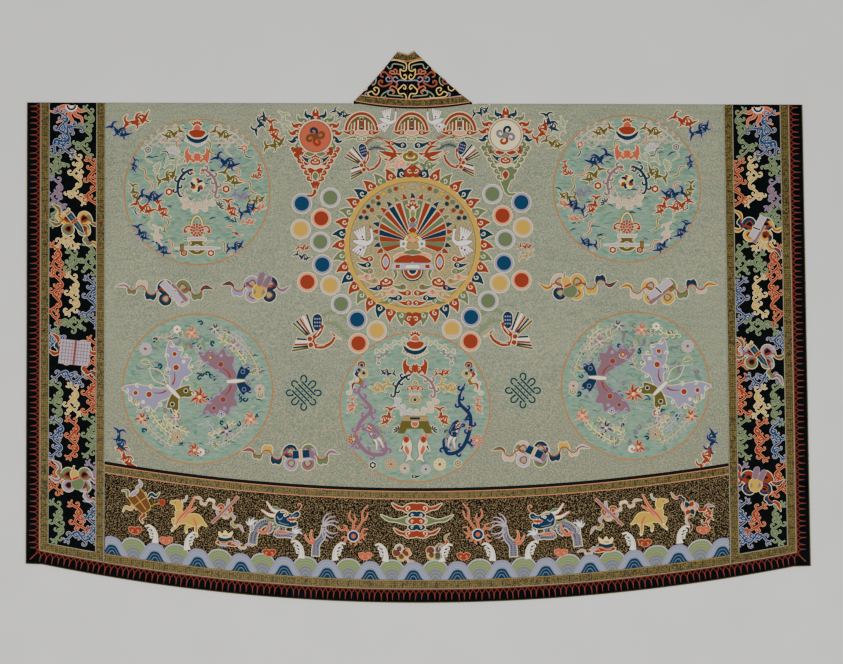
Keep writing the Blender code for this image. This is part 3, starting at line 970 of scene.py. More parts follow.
def curve(points, step=1.0, closed=False):
    """Smooth line through these points (Catmull-Rom), cut into about this step."""
    knots = np.asarray(points, float)
    if closed:
        knots = np.concatenate([knots[-1:], knots, knots[:2]])
    else:
        knots = np.concatenate([2 * knots[:1] - knots[1:2], knots, 2 * knots[-1:] - knots[-2:-1]])
    line = []
    for a, b, c, d in zip(knots, knots[1:], knots[2:], knots[3:]):
        cuts = max(2, int(math.ceil(float(np.hypot(*(c - b)[:2])) / step)))
        for i in range(cuts):
            t = i / cuts
            line.append(0.5 * (2 * b + (c - a) * t + (2 * a - 5 * b + 4 * c - d) * t ** 2
                               + (3 * b - a - 3 * c + d) * t ** 3))
    if not closed:
        line.append(knots[-2])
    return np.array(line)


def sideways(line):
    """Unit directions to the left of a line, point by point."""
    along = np.gradient(line, axis=0)
    size = np.maximum(np.hypot(along[:, 0], along[:, 1]), 1e-9)[:, None]
    along = along / size
    return np.stack([-along[:, 1], along[:, 0]], -1)


def cord(work, line, radius, dye, base=0.0, arc=(10, 60, 120, 170)):
    """A round cord sewn along a line given in metres: only its upper side shows."""
    out = sideways(line)
    thick = np.broadcast_to(radius, (len(line),))
    rims = [(math.cos(math.radians(a)), math.sin(math.radians(a))) for a in arc]
    for (near, low), (far, high) in zip(rims, rims[1:]):
        left, right = thick[:, None] * near, thick[:, None] * far
        heights = base + np.concatenate([thick * low, thick * high])
        work.strip(line + out * left, line + out * right, heights, dye)


def laid(x, y):
    """(n, 2) places as laid, in metres from the middle of the shoulder fold."""
    world_x, world_y = lay(np.asarray(x, float), np.asarray(y, float))
    return np.stack([world_x - SHIFT_X, world_y - SHIFT_Y], -1)


SIDE_STEPS = 130            # places along a cord, by where it lies
FOOT_STEPS = 20
HEM_STEPS = 200
ROOT_STEPS = 240
NECK_STEPS = 30
PINK_CORD = 0.0009          # radii of the cords
TAN_CORD = 0.0008
# the dark cord at the neckband's foot is piping that also stands as painted shadow
NECK_PIPING_AND_SHADOW = 0.0016
OLIVE_CORD = 0.0012
SIDE_ROOT_CORD = 0.0010
HEM_ROOT_CORD = 0.0008
ROOT_OUT = 0.0016           # from the robe's edge to the red cord on the flange's root
ROOT_BASE = 0.0006
ROOT_PAST = 0.002           # how far the side's red cord runs past the hem's edge
PIPING_AND_SHADOW_BASE = 0.0004
OLIVE_IN = 0.0014           # from the hem flange's foot to its olive cord
NECK_PIPING_AND_SHADOW_RISE = 0.006            # share of the neckband below its dark cord, which is piping and painted shadow


def build_edge_cords():
    """Pale, pink, red and dark cords along the edges of the ribbons and of the flange: the dark ones are
    piping that also stands as painted shadow.
    """
    radius = sizes().cord
    top = SEAM + BRAID
    for label, side in SIDES:
        work = Work(lift=0.0)
        for outer, inner, above in ((HALF_WIDTH - radius, INNER_RIBBON_X + radius, radius),
                (OUTER_RIBBON_X + radius, INNER_RIBBON_X + RIBBON - radius, RIBBON - radius)):
            foot = np.linspace(outer, inner, FOOT_STEPS)
            x = np.concatenate([np.full(SIDE_STEPS, outer), foot[1:-1], np.full(SIDE_STEPS, inner)])
            y = np.concatenate([np.linspace(CREST, hem_edge(outer) + above, SIDE_STEPS),
                hem_edge(foot[1:-1]) + above, np.linspace(hem_edge(inner) + above, CREST, SIDE_STEPS)])
            cord(work, laid(side * x, y), radius, "linen", top)
        edge = np.linspace(CREST, hem_edge(HALF_WIDTH) - ROOT_PAST, SIDE_STEPS)
        root = np.full(SIDE_STEPS, HALF_WIDTH + ROOT_OUT)
        cord(work, laid(side * root, edge), SIDE_ROOT_CORD, "red", ROOT_BASE)
        far = HALF_WIDTH + FLANGE - OLIVE_CORD
        edge = np.linspace(CREST, side_flange_foot(far), SIDE_STEPS)
        cord(work, laid(side * np.full(SIDE_STEPS, far), edge), OLIVE_CORD, "olive")
        work.finish(f"edge_cords_{label}")
    work = Work(lift=0.0)
    edge = INNER_RIBBON_X - 2 * SEAM
    x = np.linspace(-edge, edge, HEM_STEPS)
    above = HEM_DEPTH - HEM_PIPING_AND_SHADOW
    # The ink cord is piping along the hem band's upper edge, widened so that it is also painted shadow
    for rise, thick, dye, base in ((above + HEM_PIPING_AND_SHADOW, HEM_PIPING_AND_SHADOW, "ink", PIPING_AND_SHADOW_BASE),
            (above - PINK_CORD, PINK_CORD, "pink", top),
            (above - HEM_UPPER_RIBBON + PINK_CORD, PINK_CORD, "pink", top),
            (RIBBON - TAN_CORD, TAN_CORD, "tan", top), (radius, radius, "linen", top)):
        cord(work, laid(x, hem_edge(x) + rise), thick, dye, base)
    x = np.linspace(-HALF_WIDTH, HALF_WIDTH, ROOT_STEPS)
    cord(work, laid(x, hem_edge(x) - ROOT_OUT), HEM_ROOT_CORD, "red", ROOT_BASE)
    x, y = hem_flange_places(HALF_WIDTH + SEAM, -HALF_WIDTH - SEAM, FLANGE, sizes().band_step)
    cord(work, laid(x[-1], y[-1] + OLIVE_IN), OLIVE_CORD, "olive")
    work.finish("edge_cords_hem")
    work = Work(lift=0.0)
    width = NECK_SEAM_TOP - neckline(NECK_SEAM_X)
    high = width - NECK_UPPER_EDGE
    for fold in NECK_FOLDS.values():
        for across in (NECK_EDGE, NECK_EDGE + NECK_LOWER_RIBBON, high - NECK_UPPER_RIBBON, high):
            line = np.array([standing(fold, t, across / width) for t in spread(0, 1, NECK_STEPS)])
            cord(work, line, PINK_CORD, "pink", top)
        # A dark cord at the foot of the standing neckband: piping, and painted shadow over the field below
        line = np.array([standing(fold, t, NECK_PIPING_AND_SHADOW_RISE) for t in spread(0, 1, NECK_STEPS)])
        cord(work, line, NECK_PIPING_AND_SHADOW, "ink")
    work.finish("edge_cords_neck")


LOCK_REACH = (0.90, 1.06)   # shortest and longest lock, as shares of its length
LOCK_SWAY = 0.0022
TIE_SHARE = 0.44            # how far down a lock its two legs are tied
LEG_SPREAD = 0.47           # from a lock's middle to the start of a leg, as a share of the pitch
LEG_START = 0.0015
LEG_RADIUS = 0.0010
LEG_ARC = (0, 90, 180)
TAIL_RADII = (0.0018, 0.0006)
TAIL_ARC = (0, 60, 120, 180)
LOCK_STEP = 0.004
HEM_SEED = 7
DIAGONAL = 0.7071
CORNER_LEG = 0.006
CORNER_START = 0.002
CORNER_TIE = 0.014
CORNER_TIP = 0.031
CORNER_RADIUS = 0.0014


def fringe(name, line, outward, locks, length, seed):
    """Y-shaped locks along a line: two legs that are tied into one tapering tail."""
    work = Work(lift=SEAM)
    draws = random.Random(seed)
    for i in range(locks):
        middle = (i + 0.5) / locks
        root = np.array(line(middle))
        out = np.array(outward(middle))
        along = np.array([-out[1], out[0]])
        reach = length * draws.uniform(*LOCK_REACH)
        lean = along * draws.uniform(-LOCK_SWAY, LOCK_SWAY)
        tie = root + out * reach * TIE_SHARE + lean * 0.4
        tip = root + out * reach + lean
        tail = curve([tie, mix(tie, tip, 0.5) + lean * 0.2, tip], LOCK_STEP)
        for end in (-LEG_SPREAD, LEG_SPREAD):
            start = np.array(line(middle + end / locks)) + out * LEG_START
            leg = curve([start, mix(start, tie, 0.55) + (start - root) * 0.12, tie], LOCK_STEP)
            cord(work, leg, LEG_RADIUS, "floss", 0.0, LEG_ARC)
        cord(work, tail, np.linspace(*TAIL_RADII, len(tail)), "floss", 0.0, TAIL_ARC)
    return work.finish(name, {"floss": red_floss})


def build_fringes():
    """Knotted silk fringe over the flange, down both sides and along the hem."""
    pitch, side_length, hem_length = sizes().lock_pitch, sizes().side_lock, sizes().hem_lock
    corner = float(hem_edge(HALF_WIDTH))
    for seed, (label, side) in enumerate(SIDES):

        def side_line(t):
            return laid(side * HALF_WIDTH, mix(CREST, corner, t))

        def side_outward(t):
            return side, 0.0

        locks = round(-corner / pitch)
        made = fringe(f"fringe_{label}", side_line, side_outward, locks, side_length, seed)
        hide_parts(f"fringe_{label}")

    def along_hem(t):
        x = mix(-HALF_WIDTH, HALF_WIDTH, t)
        return laid(x, hem_edge(x))

    def hem_outward(t):
        slope = 2 * HEM_RISE * mix(-1, 1, t) / HALF_WIDTH
        return slope / math.hypot(1, slope), -1 / math.hypot(1, slope)

    locks = round(2 * HALF_WIDTH / pitch)
    made = fringe("fringe_hem", along_hem, hem_outward, locks, hem_length, HEM_SEED)
    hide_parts("fringe_hem")
    work = Work(lift=SEAM)
    for side in (-1, 1):
        root = laid(side * HALF_WIDTH, corner)
        out = np.array([side, -1]) * DIAGONAL
        tie, tip = root + out * CORNER_TIE, root + out * CORNER_TIP
        for step in ((0.0, CORNER_LEG), (-side * CORNER_LEG, 0.0)):
            start = root + np.array(step) + out * CORNER_START
            cord(work, curve([start, tie], LOCK_STEP), LEG_RADIUS, "floss", 0.0, LEG_ARC)
        cord(work, curve([tie, tip], LOCK_STEP), CORNER_RADIUS, "floss", 0.0, TAIL_ARC)
    work.finish("fringe_corners", {"floss": red_floss})


def floor_cloth():
    """Seamless pale paper under the robe, matt, with the slightest mottle."""
    material, shader, place = start("pale_backing_paper", 0.9)
    shade = add(material, "TexNoise", {"Scale": 6.0, "Detail": 3.0, "Vector": place})
    worn = add(material, "ValToRGB", {"Fac": shade["Fac"]},
        ((0.3, linear("#D6D5D1")), (0.7, linear("#DBDAD6"))))
    paint(material, shader, worn["Color"])
    return material


def area_light(name, place, aim, size, power, tint):
    """A round soft light that is aimed at a point."""
    light = bpy.data.lights.new(name, "AREA")
    light.shape = "DISK"
    light.size = size
    light.energy = power
    light.color = tint
    made = bpy.data.objects.new(name, light)
    bpy.context.collection.objects.link(made)
    made.location = place
    direction = Vector(aim) - Vector(place)
    made.rotation_euler = direction.to_track_quat("-Z", "Y").to_euler()


FLOOR_SIZE = 12
FLOOR_HEIGHT = -0.0006
# Lights: name, place, aim, size in metres, power in watts and tint
LIGHTS = (
    ("key", (-0.6, -0.6, 3.9), (0, -0.2, 0), 1.8, 117, (1.0, 0.98, 0.95)),
    ("fill", (2.2, -1.6, 3.8), (0, 0, 0), 2.8, 62, (0.95, 0.97, 1.0)),
)
SKY_TINT = (0.8, 0.82, 0.85, 1)
SKY_STRENGTH = 0.5
LENS = 85
SENSOR = 36
CAMERA_X = 0.018            # the photo's centre, from the middle of the robe
CAMERA_Y = -0.548
CAMERA_HEIGHT = 4.777
CAMERA_ROLL = 0.0029


def build_stage():
    """Pale floor, soft studio light and the photo's camera, straight above."""
    bpy.ops.object.select_all(action="DESELECT")
    bpy.ops.mesh.primitive_plane_add(size=FLOOR_SIZE)
    floor = bpy.context.object
    floor.name = "floor"
    floor.data.vertices.foreach_set("co", [c for v in floor.data.vertices
        for c in (v.co.x, v.co.y, FLOOR_HEIGHT)])
    floor.data.materials.append(floor_cloth())
    for light in LIGHTS:
        area_light(*light)
    world = bpy.data.worlds.new("studio")
    bpy.context.scene.world = world
    world.use_nodes = True
    sky = world.node_tree.nodes["Background"]
    sky.inputs["Color"].default_value = SKY_TINT
    sky.inputs["Strength"].default_value = SKY_STRENGTH
    lens = bpy.data.cameras.new("camera")
    lens.lens = LENS
    lens.sensor_width = SENSOR
    camera = bpy.data.objects.new("camera", lens)
    bpy.context.collection.objects.link(camera)
    camera.location = (SHIFT_X + CAMERA_X, SHIFT_Y + CAMERA_Y, CAMERA_HEIGHT)
    camera.rotation_euler = (0, 0, CAMERA_ROLL)
    bpy.context.scene.camera = camera


# The pen: motifs are drawn with strokes and filled shapes, each over its rim


SMOOTH = 0                  # width of a row that is filled inside a smooth outline
SHARP = -1                  # width of a row that is filled inside straight edges
STROKE_STEP = 1.6           # steps between places on a stroke, and on a smooth outline
OUTLINE_STEP = 2.0
RIM = 0.7                   # width of a rim, where nothing else is said
DISC_SIDES = 8              # fewest sides of a disc
SIDES_PER_STEP = 3          # and more for each step of its radius
DISC_HOLE = 0.02            # the least radius of a ring's inner edge
RING_WIDTH = 0.012          # widest ring in a disc, in metres
HALF_DISC_PLACES = 19
SPIRAL_STEPS = 9


class Pen:
    """Draws from a place on the robe, in UNIT steps, turned, scaled or flipped."""

    def __init__(self, work, u, v, turn=0.0, size=1.0, flip=1, level=0.0, bend=None):
        self.work, self.u, self.v = work, u, v
        self.turn, self.size, self.flip, self.level = turn, size, flip, level
        self.bend = bend

    def at(self, x, y, turn=0.0, size=1.0, flip=1, over=0.0):
        """Another pen, placed from this one."""
        u, v = self.mapped([(x, y)])[0]
        turn = self.turn + self.flip * turn
        return Pen(self.work, u, v, turn, self.size * size, self.flip * flip, self.level + over, self.bend)

    def both(self, x=0.0, y=0.0, turn=0.0, size=1.0, over=0.0):
        """Two pens that mirror each other."""
        return [self.at(flip * x, y, flip * turn, size, flip, over) for flip in (1, -1)]

    def mapped(self, points):
        p = np.asarray(points, float) * (self.size * self.flip, self.size)
        c, s = math.cos(math.radians(self.turn)), math.sin(math.radians(self.turn))
        return np.stack([self.u + p[:, 0] * c - p[:, 1] * s, self.v + p[:, 0] * s + p[:, 1] * c], -1)

    def robe(self, points):
        """Places as laid, in metres; bend takes a band's own places to the robe."""
        p = self.mapped(points)
        p = np.stack([(p[:, 0] - ORIGIN_X) * UNIT, (ORIGIN_Y - p[:, 1]) * UNIT], -1)
        return self.bend(p) if self.bend else p

    def stroke(self, path, width, dye, rim=None, level=1.0, edge=RIM):
        """A line of one width or of widths along it, with a rim under it."""
        line = curve(path, STROKE_STEP / self.size)
        knots = np.atleast_1d(width)
        share = np.linspace(0, 1, len(line))
        half = np.interp(share, np.linspace(0, 1, len(knots)), knots)[:, None] / 2
        out = sideways(line)
        if rim:
            ends = line.copy()
            ends[0] += (line[0] - line[1]) / max(1e-6, math.dist(line[0], line[1])) * edge
            ends[-1] += (line[-1] - line[-2]) / max(1e-6, math.dist(line[-1], line[-2])) * edge
            wide = out * (half + edge)
            self.work.strip(self.robe(ends + wide), self.robe(ends - wide), (self.level + level) * PLY, rim)
        self.work.strip(self.robe(line + out * half), self.robe(line - out * half),
            (self.level + level + 1) * PLY, dye)

    def fill(self, outline, dye, rim=None, level=1.0, edge=RIM, sharp=False):
        """A filled outline, smooth unless sharp, with a rim round it."""
        points = np.asarray(outline, float)
        line = points if sharp else curve(points, OUTLINE_STEP / self.size, closed=True)
        if rim:
            ring = np.concatenate([line[-1:], line, line[:1]])
            out = sideways(ring)[1:-1] * (-1 if area_of(line) > 0 else 1)
            wide = self.robe(line + out * edge)
            self.work.add(wide, (self.level + level) * PLY, [range(len(wide))], rim)
        flat = self.robe(line)
        self.work.add(flat, (self.level + level + 1) * PLY, [range(len(flat))], dye)

    def draw(self, *rows):
        """Rows of width, dye, rim, level and points."""
        for width, dye, rim, level, *points in rows:
            if np.max(width) > 0:
                self.stroke(points, width, dye, rim, level)
            else:
                self.fill(points, dye, rim, level, RIM, width == SHARP)

    def disc(self, x, y, radius, dye, rim=None, level=1.0, edge=RIM, inner=0.0):
        """A disc or, with an inner radius, a ring."""
        sides = max(DISC_SIDES, int(radius * self.size * SIDES_PER_STEP))
        turns = np.linspace(0, 2 * math.pi, sides + 1)
        unit = np.stack([np.cos(turns), np.sin(turns)], -1)
        middle = np.array([x, y], float)
        bands = [(inner, radius, dye, level + 1)]
        if rim:
            bands.append((inner, radius + edge, rim, level))
        for low, high, colour, height in bands:
            rings = max(1, int(math.ceil((high - low) * self.size * UNIT / RING_WIDTH)))
            cuts = spread(max(low, DISC_HOLE), high, rings)
            for near, far in zip(cuts, cuts[1:]):
                self.work.strip(self.robe(middle + unit * near), self.robe(middle + unit * far),
                    (self.level + height) * PLY, colour)

    def half_disc(self, radius, dye, level, up=1.0):
        """The upper half of a disc, or the lower half where up is below 0."""
        turns = np.linspace(0, math.pi, HALF_DISC_PLACES)
        rim = [(radius * math.cos(a), -up * radius * math.sin(a)) for a in turns]
        self.fill(rim, dye, None, level, 0, True)


def polar(radius, turn):
    """Place at this distance and clockwise from the top."""
    return radius * math.sin(math.radians(turn)), -radius * math.cos(math.radians(turn))


def spiral(radius, turns, stem=0.0, tight=0.8):
    """Path that runs out along x and then winds up, to the left as drawn."""
    path = [(0.0, 0.0)] if stem else []
    for t in spread(0, 1, SPIRAL_STEPS):
        reach = radius * (1 - tight * t)
        turn = math.pi / 2 - turns * 2 * math.pi * t
        path.append((stem + reach * math.cos(turn), -radius + reach * math.sin(turn)))
    return path


def curl(pen, x, y, turn, radius, dye, width=1.5, rim="cream", flip=1, stem=2.0, level=1.0):
    """A hook of thread that ends in a curl."""
    hook = pen.at(x, y, turn, 1.0, flip)
    hook.stroke(spiral(radius, 0.85, stem), (width, width, width * 0.6), dye, rim, level)


def heading(line, i):
    """Degrees that a line runs at this point of it."""
    run = line[min(i + 1, len(line) - 1)] - line[i - 1]
    return math.degrees(math.atan2(run[1], run[0]))


def scroll(pen, path, dye, rim, wide=2.4, reach=2.8, gap=6, level=1.0, edge=RIM, hook=1.5, tip=0.5):
    """A winding stem with a curled hook to each side by turns, as clouds and vines are drawn."""
    line = curve(path, 1.0)
    pen.stroke(path, (wide * tip, wide, wide, wide, wide * tip), dye, rim, level, edge)
    for n, i in enumerate(range(gap // 2, len(line) - 1, gap)):
        odd = n % 2
        curled = pen.at(*line[i], heading(line, i) + 180 * odd, 1.0, -1 if odd else 1)
        curled.stroke(spiral(reach, 0.74, reach * 0.6, 0.7), (wide * 0.9, hook, hook, hook * 0.6), dye, rim,
            level, edge)


def petals(pen, count, inner, outer, width, dye, rim="cream", level=1.0, first=0.0, whole=360.0):
    """Petals round a middle."""
    widest = mix(inner, outer, 0.62)
    for i in range(count):
        pen.at(0, 0, first + whole * i / count).fill([(0, -inner), (width / 2, -widest), (0, -outer),
            (-width / 2, -widest)], dye, rim, level)


def cloud(pen, dye, rim="cream"):
    """A drifting cloud: a winding stem with bent arms, and pale curls cut in it."""
    pen.stroke([(-13, 4), (-9, 0), (-3, 0), (3, 2.4), (8, -0.6), (13, -5)], (0.8, 2.8, 3.4, 3.4, 2.8, 0.6),
        dye, rim)
    for x, y, turn, size, flip in ((-7, -0.4, -96, 0.9, 1), (-3, 0.4, 64, 0.8, 1), (1, 1, -70, 1.0, 1),
            (4, 2.6, 70, 0.8, -1), (8, -1, -100, 0.7, -1), (8, 0, 40, 0.8, -1)):
        arm = pen.at(x, y, turn, size, flip)
        arm.stroke([(0, 0), (3, -1.4), (6.4, -0.4), (7.6, 3)], (3.0, 2.4, 1.8, 0.5), dye, rim)
    for x, y in ((-6, 2.2), (2, 4)):
        pen.at(x, y).stroke(spiral(1.6, 0.8), 0.6, rim, None, 2.6)


def ruyi(pen, dye, core):
    """A cloud head of three lobes with a heart of another dye."""
    for side in pen.both():
        curl(side, 0, 2.5, -8, 2.8, dye, 2.4, "cream", 1, 3.0)
    pen.disc(0, -2.2, 3.0, dye, "cream")
    pen.disc(0, -2.2, 1.4, core, None, 3.0)


def wisp(pen, dye, core="cream"):
    """A pointed wisp of cloud with a curl cut in its head."""
    pen.fill([(-4.6, 1.6), (-4.2, -1.8), (-1, -3), (3, -1.2), (10, -1.8), (4.4, 1.8), (-1, 3)], dye,
        "cream")
    pen.at(-1.4, 1.6).stroke(spiral(1.7, 0.85), 0.7, core, None, 2.6)


def fin(pen, dye):
    """A hooked flame, leaning, with a curl cut in its foot."""
    pen.fill([(-4.8, 0), (-4.6, -3.6), (-2.6, -7.6), (2.8, -12.8), (3.0, -9), (4.8, -4), (4.8, 0)], dye,
        "cream", 1.0, 0.8)
    pen.at(-0.4, -0.6).stroke(spiral(2.7, 0.95), 0.9, "cream", None, 2.6)


def flower(pen, outer, heart):
    """A small round flower with a rimmed heart."""
    petals(pen, 6, 1.0, 4.0, 3.4, outer)
    pen.disc(0, 0, 1.2, heart, "cream", 3.0, 0.56)


def blossom(pen, dye, tip):
    """A ragged blossom of pointed petals on two leaves."""
    for n, turn in enumerate(range(0, 360, 40)):
        reach = (9.5, 6.5, 8)[n % 3]
        pen.at(0, 0, turn).stroke([(0, 0), (1, -reach * 0.5), (0, -reach)], (1.2, 2.4, 0.5),
            (dye, tip)[n % 2], "blush", 1.0 + n % 2, 0.4)
    pen.disc(0, 0, 1.6, "straw", None, 4.0)


def lotus(pen, heart):
    """An open red lotus from the side, on its stem."""
    pen.stroke([(0, 3), (1, 8), (-1, 13)], 1.2, "green", "cream", 0.0, 0.5)
    petals(pen.at(0, 3), 7, 0, 8.5, 4.2, "red", "cream", 1.0, -78, 182)
    petals(pen.at(0, 3), 3, 0, 5, 3.0, heart, "cream", 3.0, -30, 90)


def pompon(pen, dye, heart):
    """A round flower of many small dots."""
    for radius, count in ((5.2, 12), (3.0, 7)):
        for n in range(count):
            pen.disc(*polar(radius, 360 * n / count), 1.15, dye, "blush", 1.0, 0.35)
    pen.disc(0, 0, 1.1, heart, None, 3.0)


def coral(pen, path, dye="tan"):
    """A branching spray of fine pale hooks."""
    scroll(pen, path, dye, None, 1.0, 2.2, 3, 1.0, 0.0, 0.8)


def pinwheel(pen, dyes, size=8.0):
    """A wheel of curled petals in turn of these dyes."""
    for i, dye in enumerate(dyes):
        petal = [(0, -1), (size * 0.34, -size * 0.45), (size * 0.16, -size), (-size * 0.28, -size * 0.6)]
        pen.at(0, 0, 360.0 * i / len(dyes)).fill(petal, dye, "cream")
    pen.disc(0, 0, size * 0.2, "yellow", "cream", 3.0, 0.5)


def bat(pen, dye):
    """A bat with wings spread and curled."""
    for side in pen.both():
        side.draw(
            (SMOOTH, dye, "cream", 1, (0, 0), (2, -2), (6, -1), (9, -4), (8, -9), (12, -5), (12, 2),
             (10, 8), (7, 4), (4, 7), (1, 4)),
        )
        curl(side, 3, 3, -20, 1.7, "cream", 0.7, None, 1, 1.6, 3.0)
    pen.draw((SMOOTH, dye, "cream", 1, (-2, -4), (0, -2), (2, -4), (1.6, 3), (0, 6), (-1.6, 3)))


def crane(pen):
    """A white crane with its neck raised and its feathers spread above and below."""
    for i in range(5):
        pen.draw(
            (1.7, "white", "plum", 1, (-5 + 1.2 * i, -1.5), (-12 + 2.3 * i, -9 - 1.6 * i)),
            (1.7, "white", "plum", 1, (-4 + 1.6 * i, 3.5), (-11 + 2.6 * i, 11 + 1.1 * i)),
        )
    pen.draw(
        (SMOOTH, "white", "plum", 2, (-12, 1), (-6, -1), (0, -1.4), (5, 0.4), (2, 4), (-5, 4)),
        ((4, 2.6, 2.0, 2.4), "white", "plum", 2, (3, 1.6), (7, -3), (6, -9), (4.4, -14)),
        (1.1, "red", None, 3, (4.4, -14.6), (2.6, -17.4)),
    )
    for x, y, dye in ((-3, -4.6, "navy"), (-1.6, -2.2, "red"), (0, 6.4, "red"), (-3, 8.6, "navy")):
        pen.disc(x, y, 1.1, dye, None, 4.0)


def plume(pen, path, dye):
    """A long feather with barbs to both sides."""
    barb = [(0, 0), (3.2, 0)]
    line = curve(path, 1.7)
    pen.stroke(path, (1.0, 0.5), dye, None, 0.0)
    for n in range(2, len(line)):
        for lean in (58, -58):
            side = pen.at(*line[n], heading(line, n) + lean)
            side.stroke(barb, (0.7, 0.3), dye, None, -0.4)


def phoenix(pen, first, second):
    """A bird in flight: barred wings behind, a scaled back, a curved neck and two long plumes."""
    for i, dye in enumerate(("olive", "navy", "red", "white", "navy")):
        for path in (((-6 + 1.6 * i, 3 - 0.8 * i), (-20 + 3.4 * i, -10 - 2.2 * i)),
                ((-4 + 1.4 * i, 15 - 2 * i), (-21 + 1.2 * i, 18 - 3 * i))):
            pen.stroke(path, 2.0, dye, "cream", 1 + 0.2 * i, 0.45)
    plume(pen, [(6, -12), (14, -20), (26, -20), (36, -12)], first)
    plume(pen, [(8, -8), (18, -10), (26, -6), (34, 4)], second)
    pen.draw(
        (SMOOTH, "navy", "cream", 3, (0, -16), (5, -19), (9, -15), (8, -7), (4, -2), (0, -6)),
        ((3, 4.6, 4, 2), "red", "cream", 2, (10, -8), (6, 0), (0, 6), (2, 13)),
        ((1.2, 0.8), "white", None, 5, (8, -4), (3, 3)),
        ((4.6, 3.2, 2.4), "red", "cream", 2, (2, 13), (10, 14), (18, 10), (22, 4)),
        ((1.6, 0.6), "blush", None, 5, (4, 13), (12, 12.6)),
        ((2.2, 0.5), "red", "cream", 2, (22, 3), (18, -1)),
        ((1.8, 0.5), "yellow", "cream", 2, (23, 4), (28, 6)),
    )
    for n in range(9):
        pen.disc(2 + 2.4 * (n % 3), -14 + 3.6 * (n // 3), 0.9, "lavender", None, 5.0)
    for x, y in ((-3, 6), (-2, 12)):
        pen.disc(x, y, 2.6, "red", "cream", 4.0)


def butterfly(pen, wing, rim, spot, hind):
    """A large butterfly seen from above, its wing edges curled."""
    for side in pen.both():
        side.draw(
            (SMOOTH, wing, rim, 1, (1, -3), (7, -9), (14, -19), (22, -29), (32, -34), (31, -27), (35, -20),
             (28, -16), (34, -8), (26, -5), (25, 2), (15, 0), (8, 3), (3, 2)),
            (SMOOTH, hind, rim, 1, (1, 3), (9, 5), (15, 9), (12, 12), (14, 17), (8, 17), (4, 13), (1, 10)),
            ((0.9, 0.5), rim, None, 0, (1, -8), (5, -18), (2, -27), (-2, -30)),
            ((1.6, 1.2, 0.6), "red", None, 3, (4, -3), (9, -5), (14, -10)),
        )
        for x, y, radius, dye in ((26, -22, 2.2, spot), (18, -12, 2.8, spot), (27, -11, 1.4, rim),
                (9, 10, 1.8, "navy")):
            side.disc(x, y, radius, dye, rim, 3.0, 0.5)
        for x, y, turn in ((29, -31, 100), (32, -23, 90), (30, -14, 60), (28, -5, 110), (12, 15, 120),
                (18, 0, 150), (12, -14, -60), (20, -24, -50)):
            curl(side, x, y, turn, 2.1, rim, 1.3, None, 1, 1.4, 2.0)
    pen.draw(((2.4, 3.6, 1.4), "white", "tan", 4, (0, -7), (0, 0), (0, 11)))


def canopy(pen, bulbs):
    """A jewelled canopy: flame, two crescents and a row of hanging bulbs."""
    for i in range(9):
        x = (i - 4) * 2.7
        pen.draw((2.2, bulbs, "cream", 1, (x * 0.8, 6 - abs(i - 4) * 1.0), (x, 11 - abs(i - 4) * 1.3)))
    pen.draw(
        (SMOOTH, "navy", "cream", 2, (-11, -1), (-5, 3), (0, 4), (5, 3), (11, -1), (8, 5), (0, 8), (-8, 5)),
        (SMOOTH, "red", "cream", 2, (-8, -3), (0, -5.4), (8, -3), (5, 1.6), (0, 2.6), (-5, 1.6)),
        (SMOOTH, "rose", "cream", 3, (-4, -6), (0, -10), (4, -6), (0, -4.6)),
    )
    petals(pen.at(0, -8), 5, 0, 6, 2.2, "red", "cream", 1.0, -60, 150)


def beast_head(pen, dye, rim):
    """A dragon's head from the side: open jaws, white horns, a green mane and a comb of beard."""
    for i in range(6):
        pen.draw(((2.4, 0.6), "green", "sage", 0, (3 - 2.4 * i, 4), (2 - 2.6 * i, 10 - 0.6 * i)))
    pen.draw(
        ((3, 4, 0.5), "green", "sage", 1, (-4, -9), (-10, -13), (-15, -13)),
        ((3.6, 2.6, 0.6), "white", "pink", 1, (-3, -6), (-14, -5), (-24, -10)),
        ((3.6, 2.4, 0.6), "white", "pink", 1, (-2, -9), (-12, -11), (-19, -19)),
        ((3, 2.2, 0.5), "green", "sage", 1, (-3, -2), (-12, 1), (-20, -2)),
        (SMOOTH, dye, rim, 3, (-9, -4), (-7, -9), (-2, -11.6), (3, -10), (6, -8), (10, -8), (13, -11),
         (16.6, -9.6), (15.6, -5.4), (10, -4.4), (5, -2.4), (9, 0.4), (14, 0), (14.6, 3.4), (8, 6), (0, 5),
         (-7, 3)),
        (SMOOTH, "red", "pink", 5, (4, -2.2), (9, -3.6), (13.6, -3), (9, -0.4)),
        ((1.4, 0.9, 0.9), "red", rim, 5, (-3, -10), (2, -9.4), (4, -6.6)),
        ((1.2, 0.8), "lavender", None, 5, (-7, -4), (-4, -1), (-1, -3.4)),
        ((1.2, 0.8), "sky", None, 5, (-5, 1.4), (0, 3), (6, 3.6)),
        ((1.0, 0.8), "sky", None, 5, (7, -6.2), (11, -6), (14, -8)),
    )
    for x, y in ((7, -4), (10, -4.2), (8, 0.2), (11, 0)):
        pen.disc(x, y, 0.8, "white", None, 6.0)
    pen.disc(1.4, -6, 1.7, "white", "ink", 5.0, 0.4)
    pen.disc(1.8, -6, 0.8, "ink", None, 7.0)
    for y, turn, flip in ((-11, -60, 1), (3, 30, -1)):
        curl(pen, 15, y, turn, 3.0, "pink", 1.0, None, flip, 6.0)


def dragon(pen, path, dye, rim):
    """A hornless dragon: a hooked winding body with clawed feet, its head at the path's end."""
    line = curve(path, 1.0)
    scroll(pen, path, dye, rim, 3.8, 3.0, 8, 1.0, RIM, 2.0, 0.3)
    for share, side in ((0.3, -1), (0.55, 1), (0.8, -1)):
        i = int(share * len(line))
        foot = pen.at(*line[i], heading(line, i) + side * 70)
        foot.draw((2.2, dye, rim, 1, (0, 0), (6, 1)))
        for lean in (-40, 0, 40):
            foot.at(6, 1, lean).draw(((1.4, 0.5), dye, rim, 1, (0, 0), (4, -0.6)))
    beast_head(pen.at(*line[-1], heading(line, len(line) - 1), 0.7, 1, 2), dye, rim)


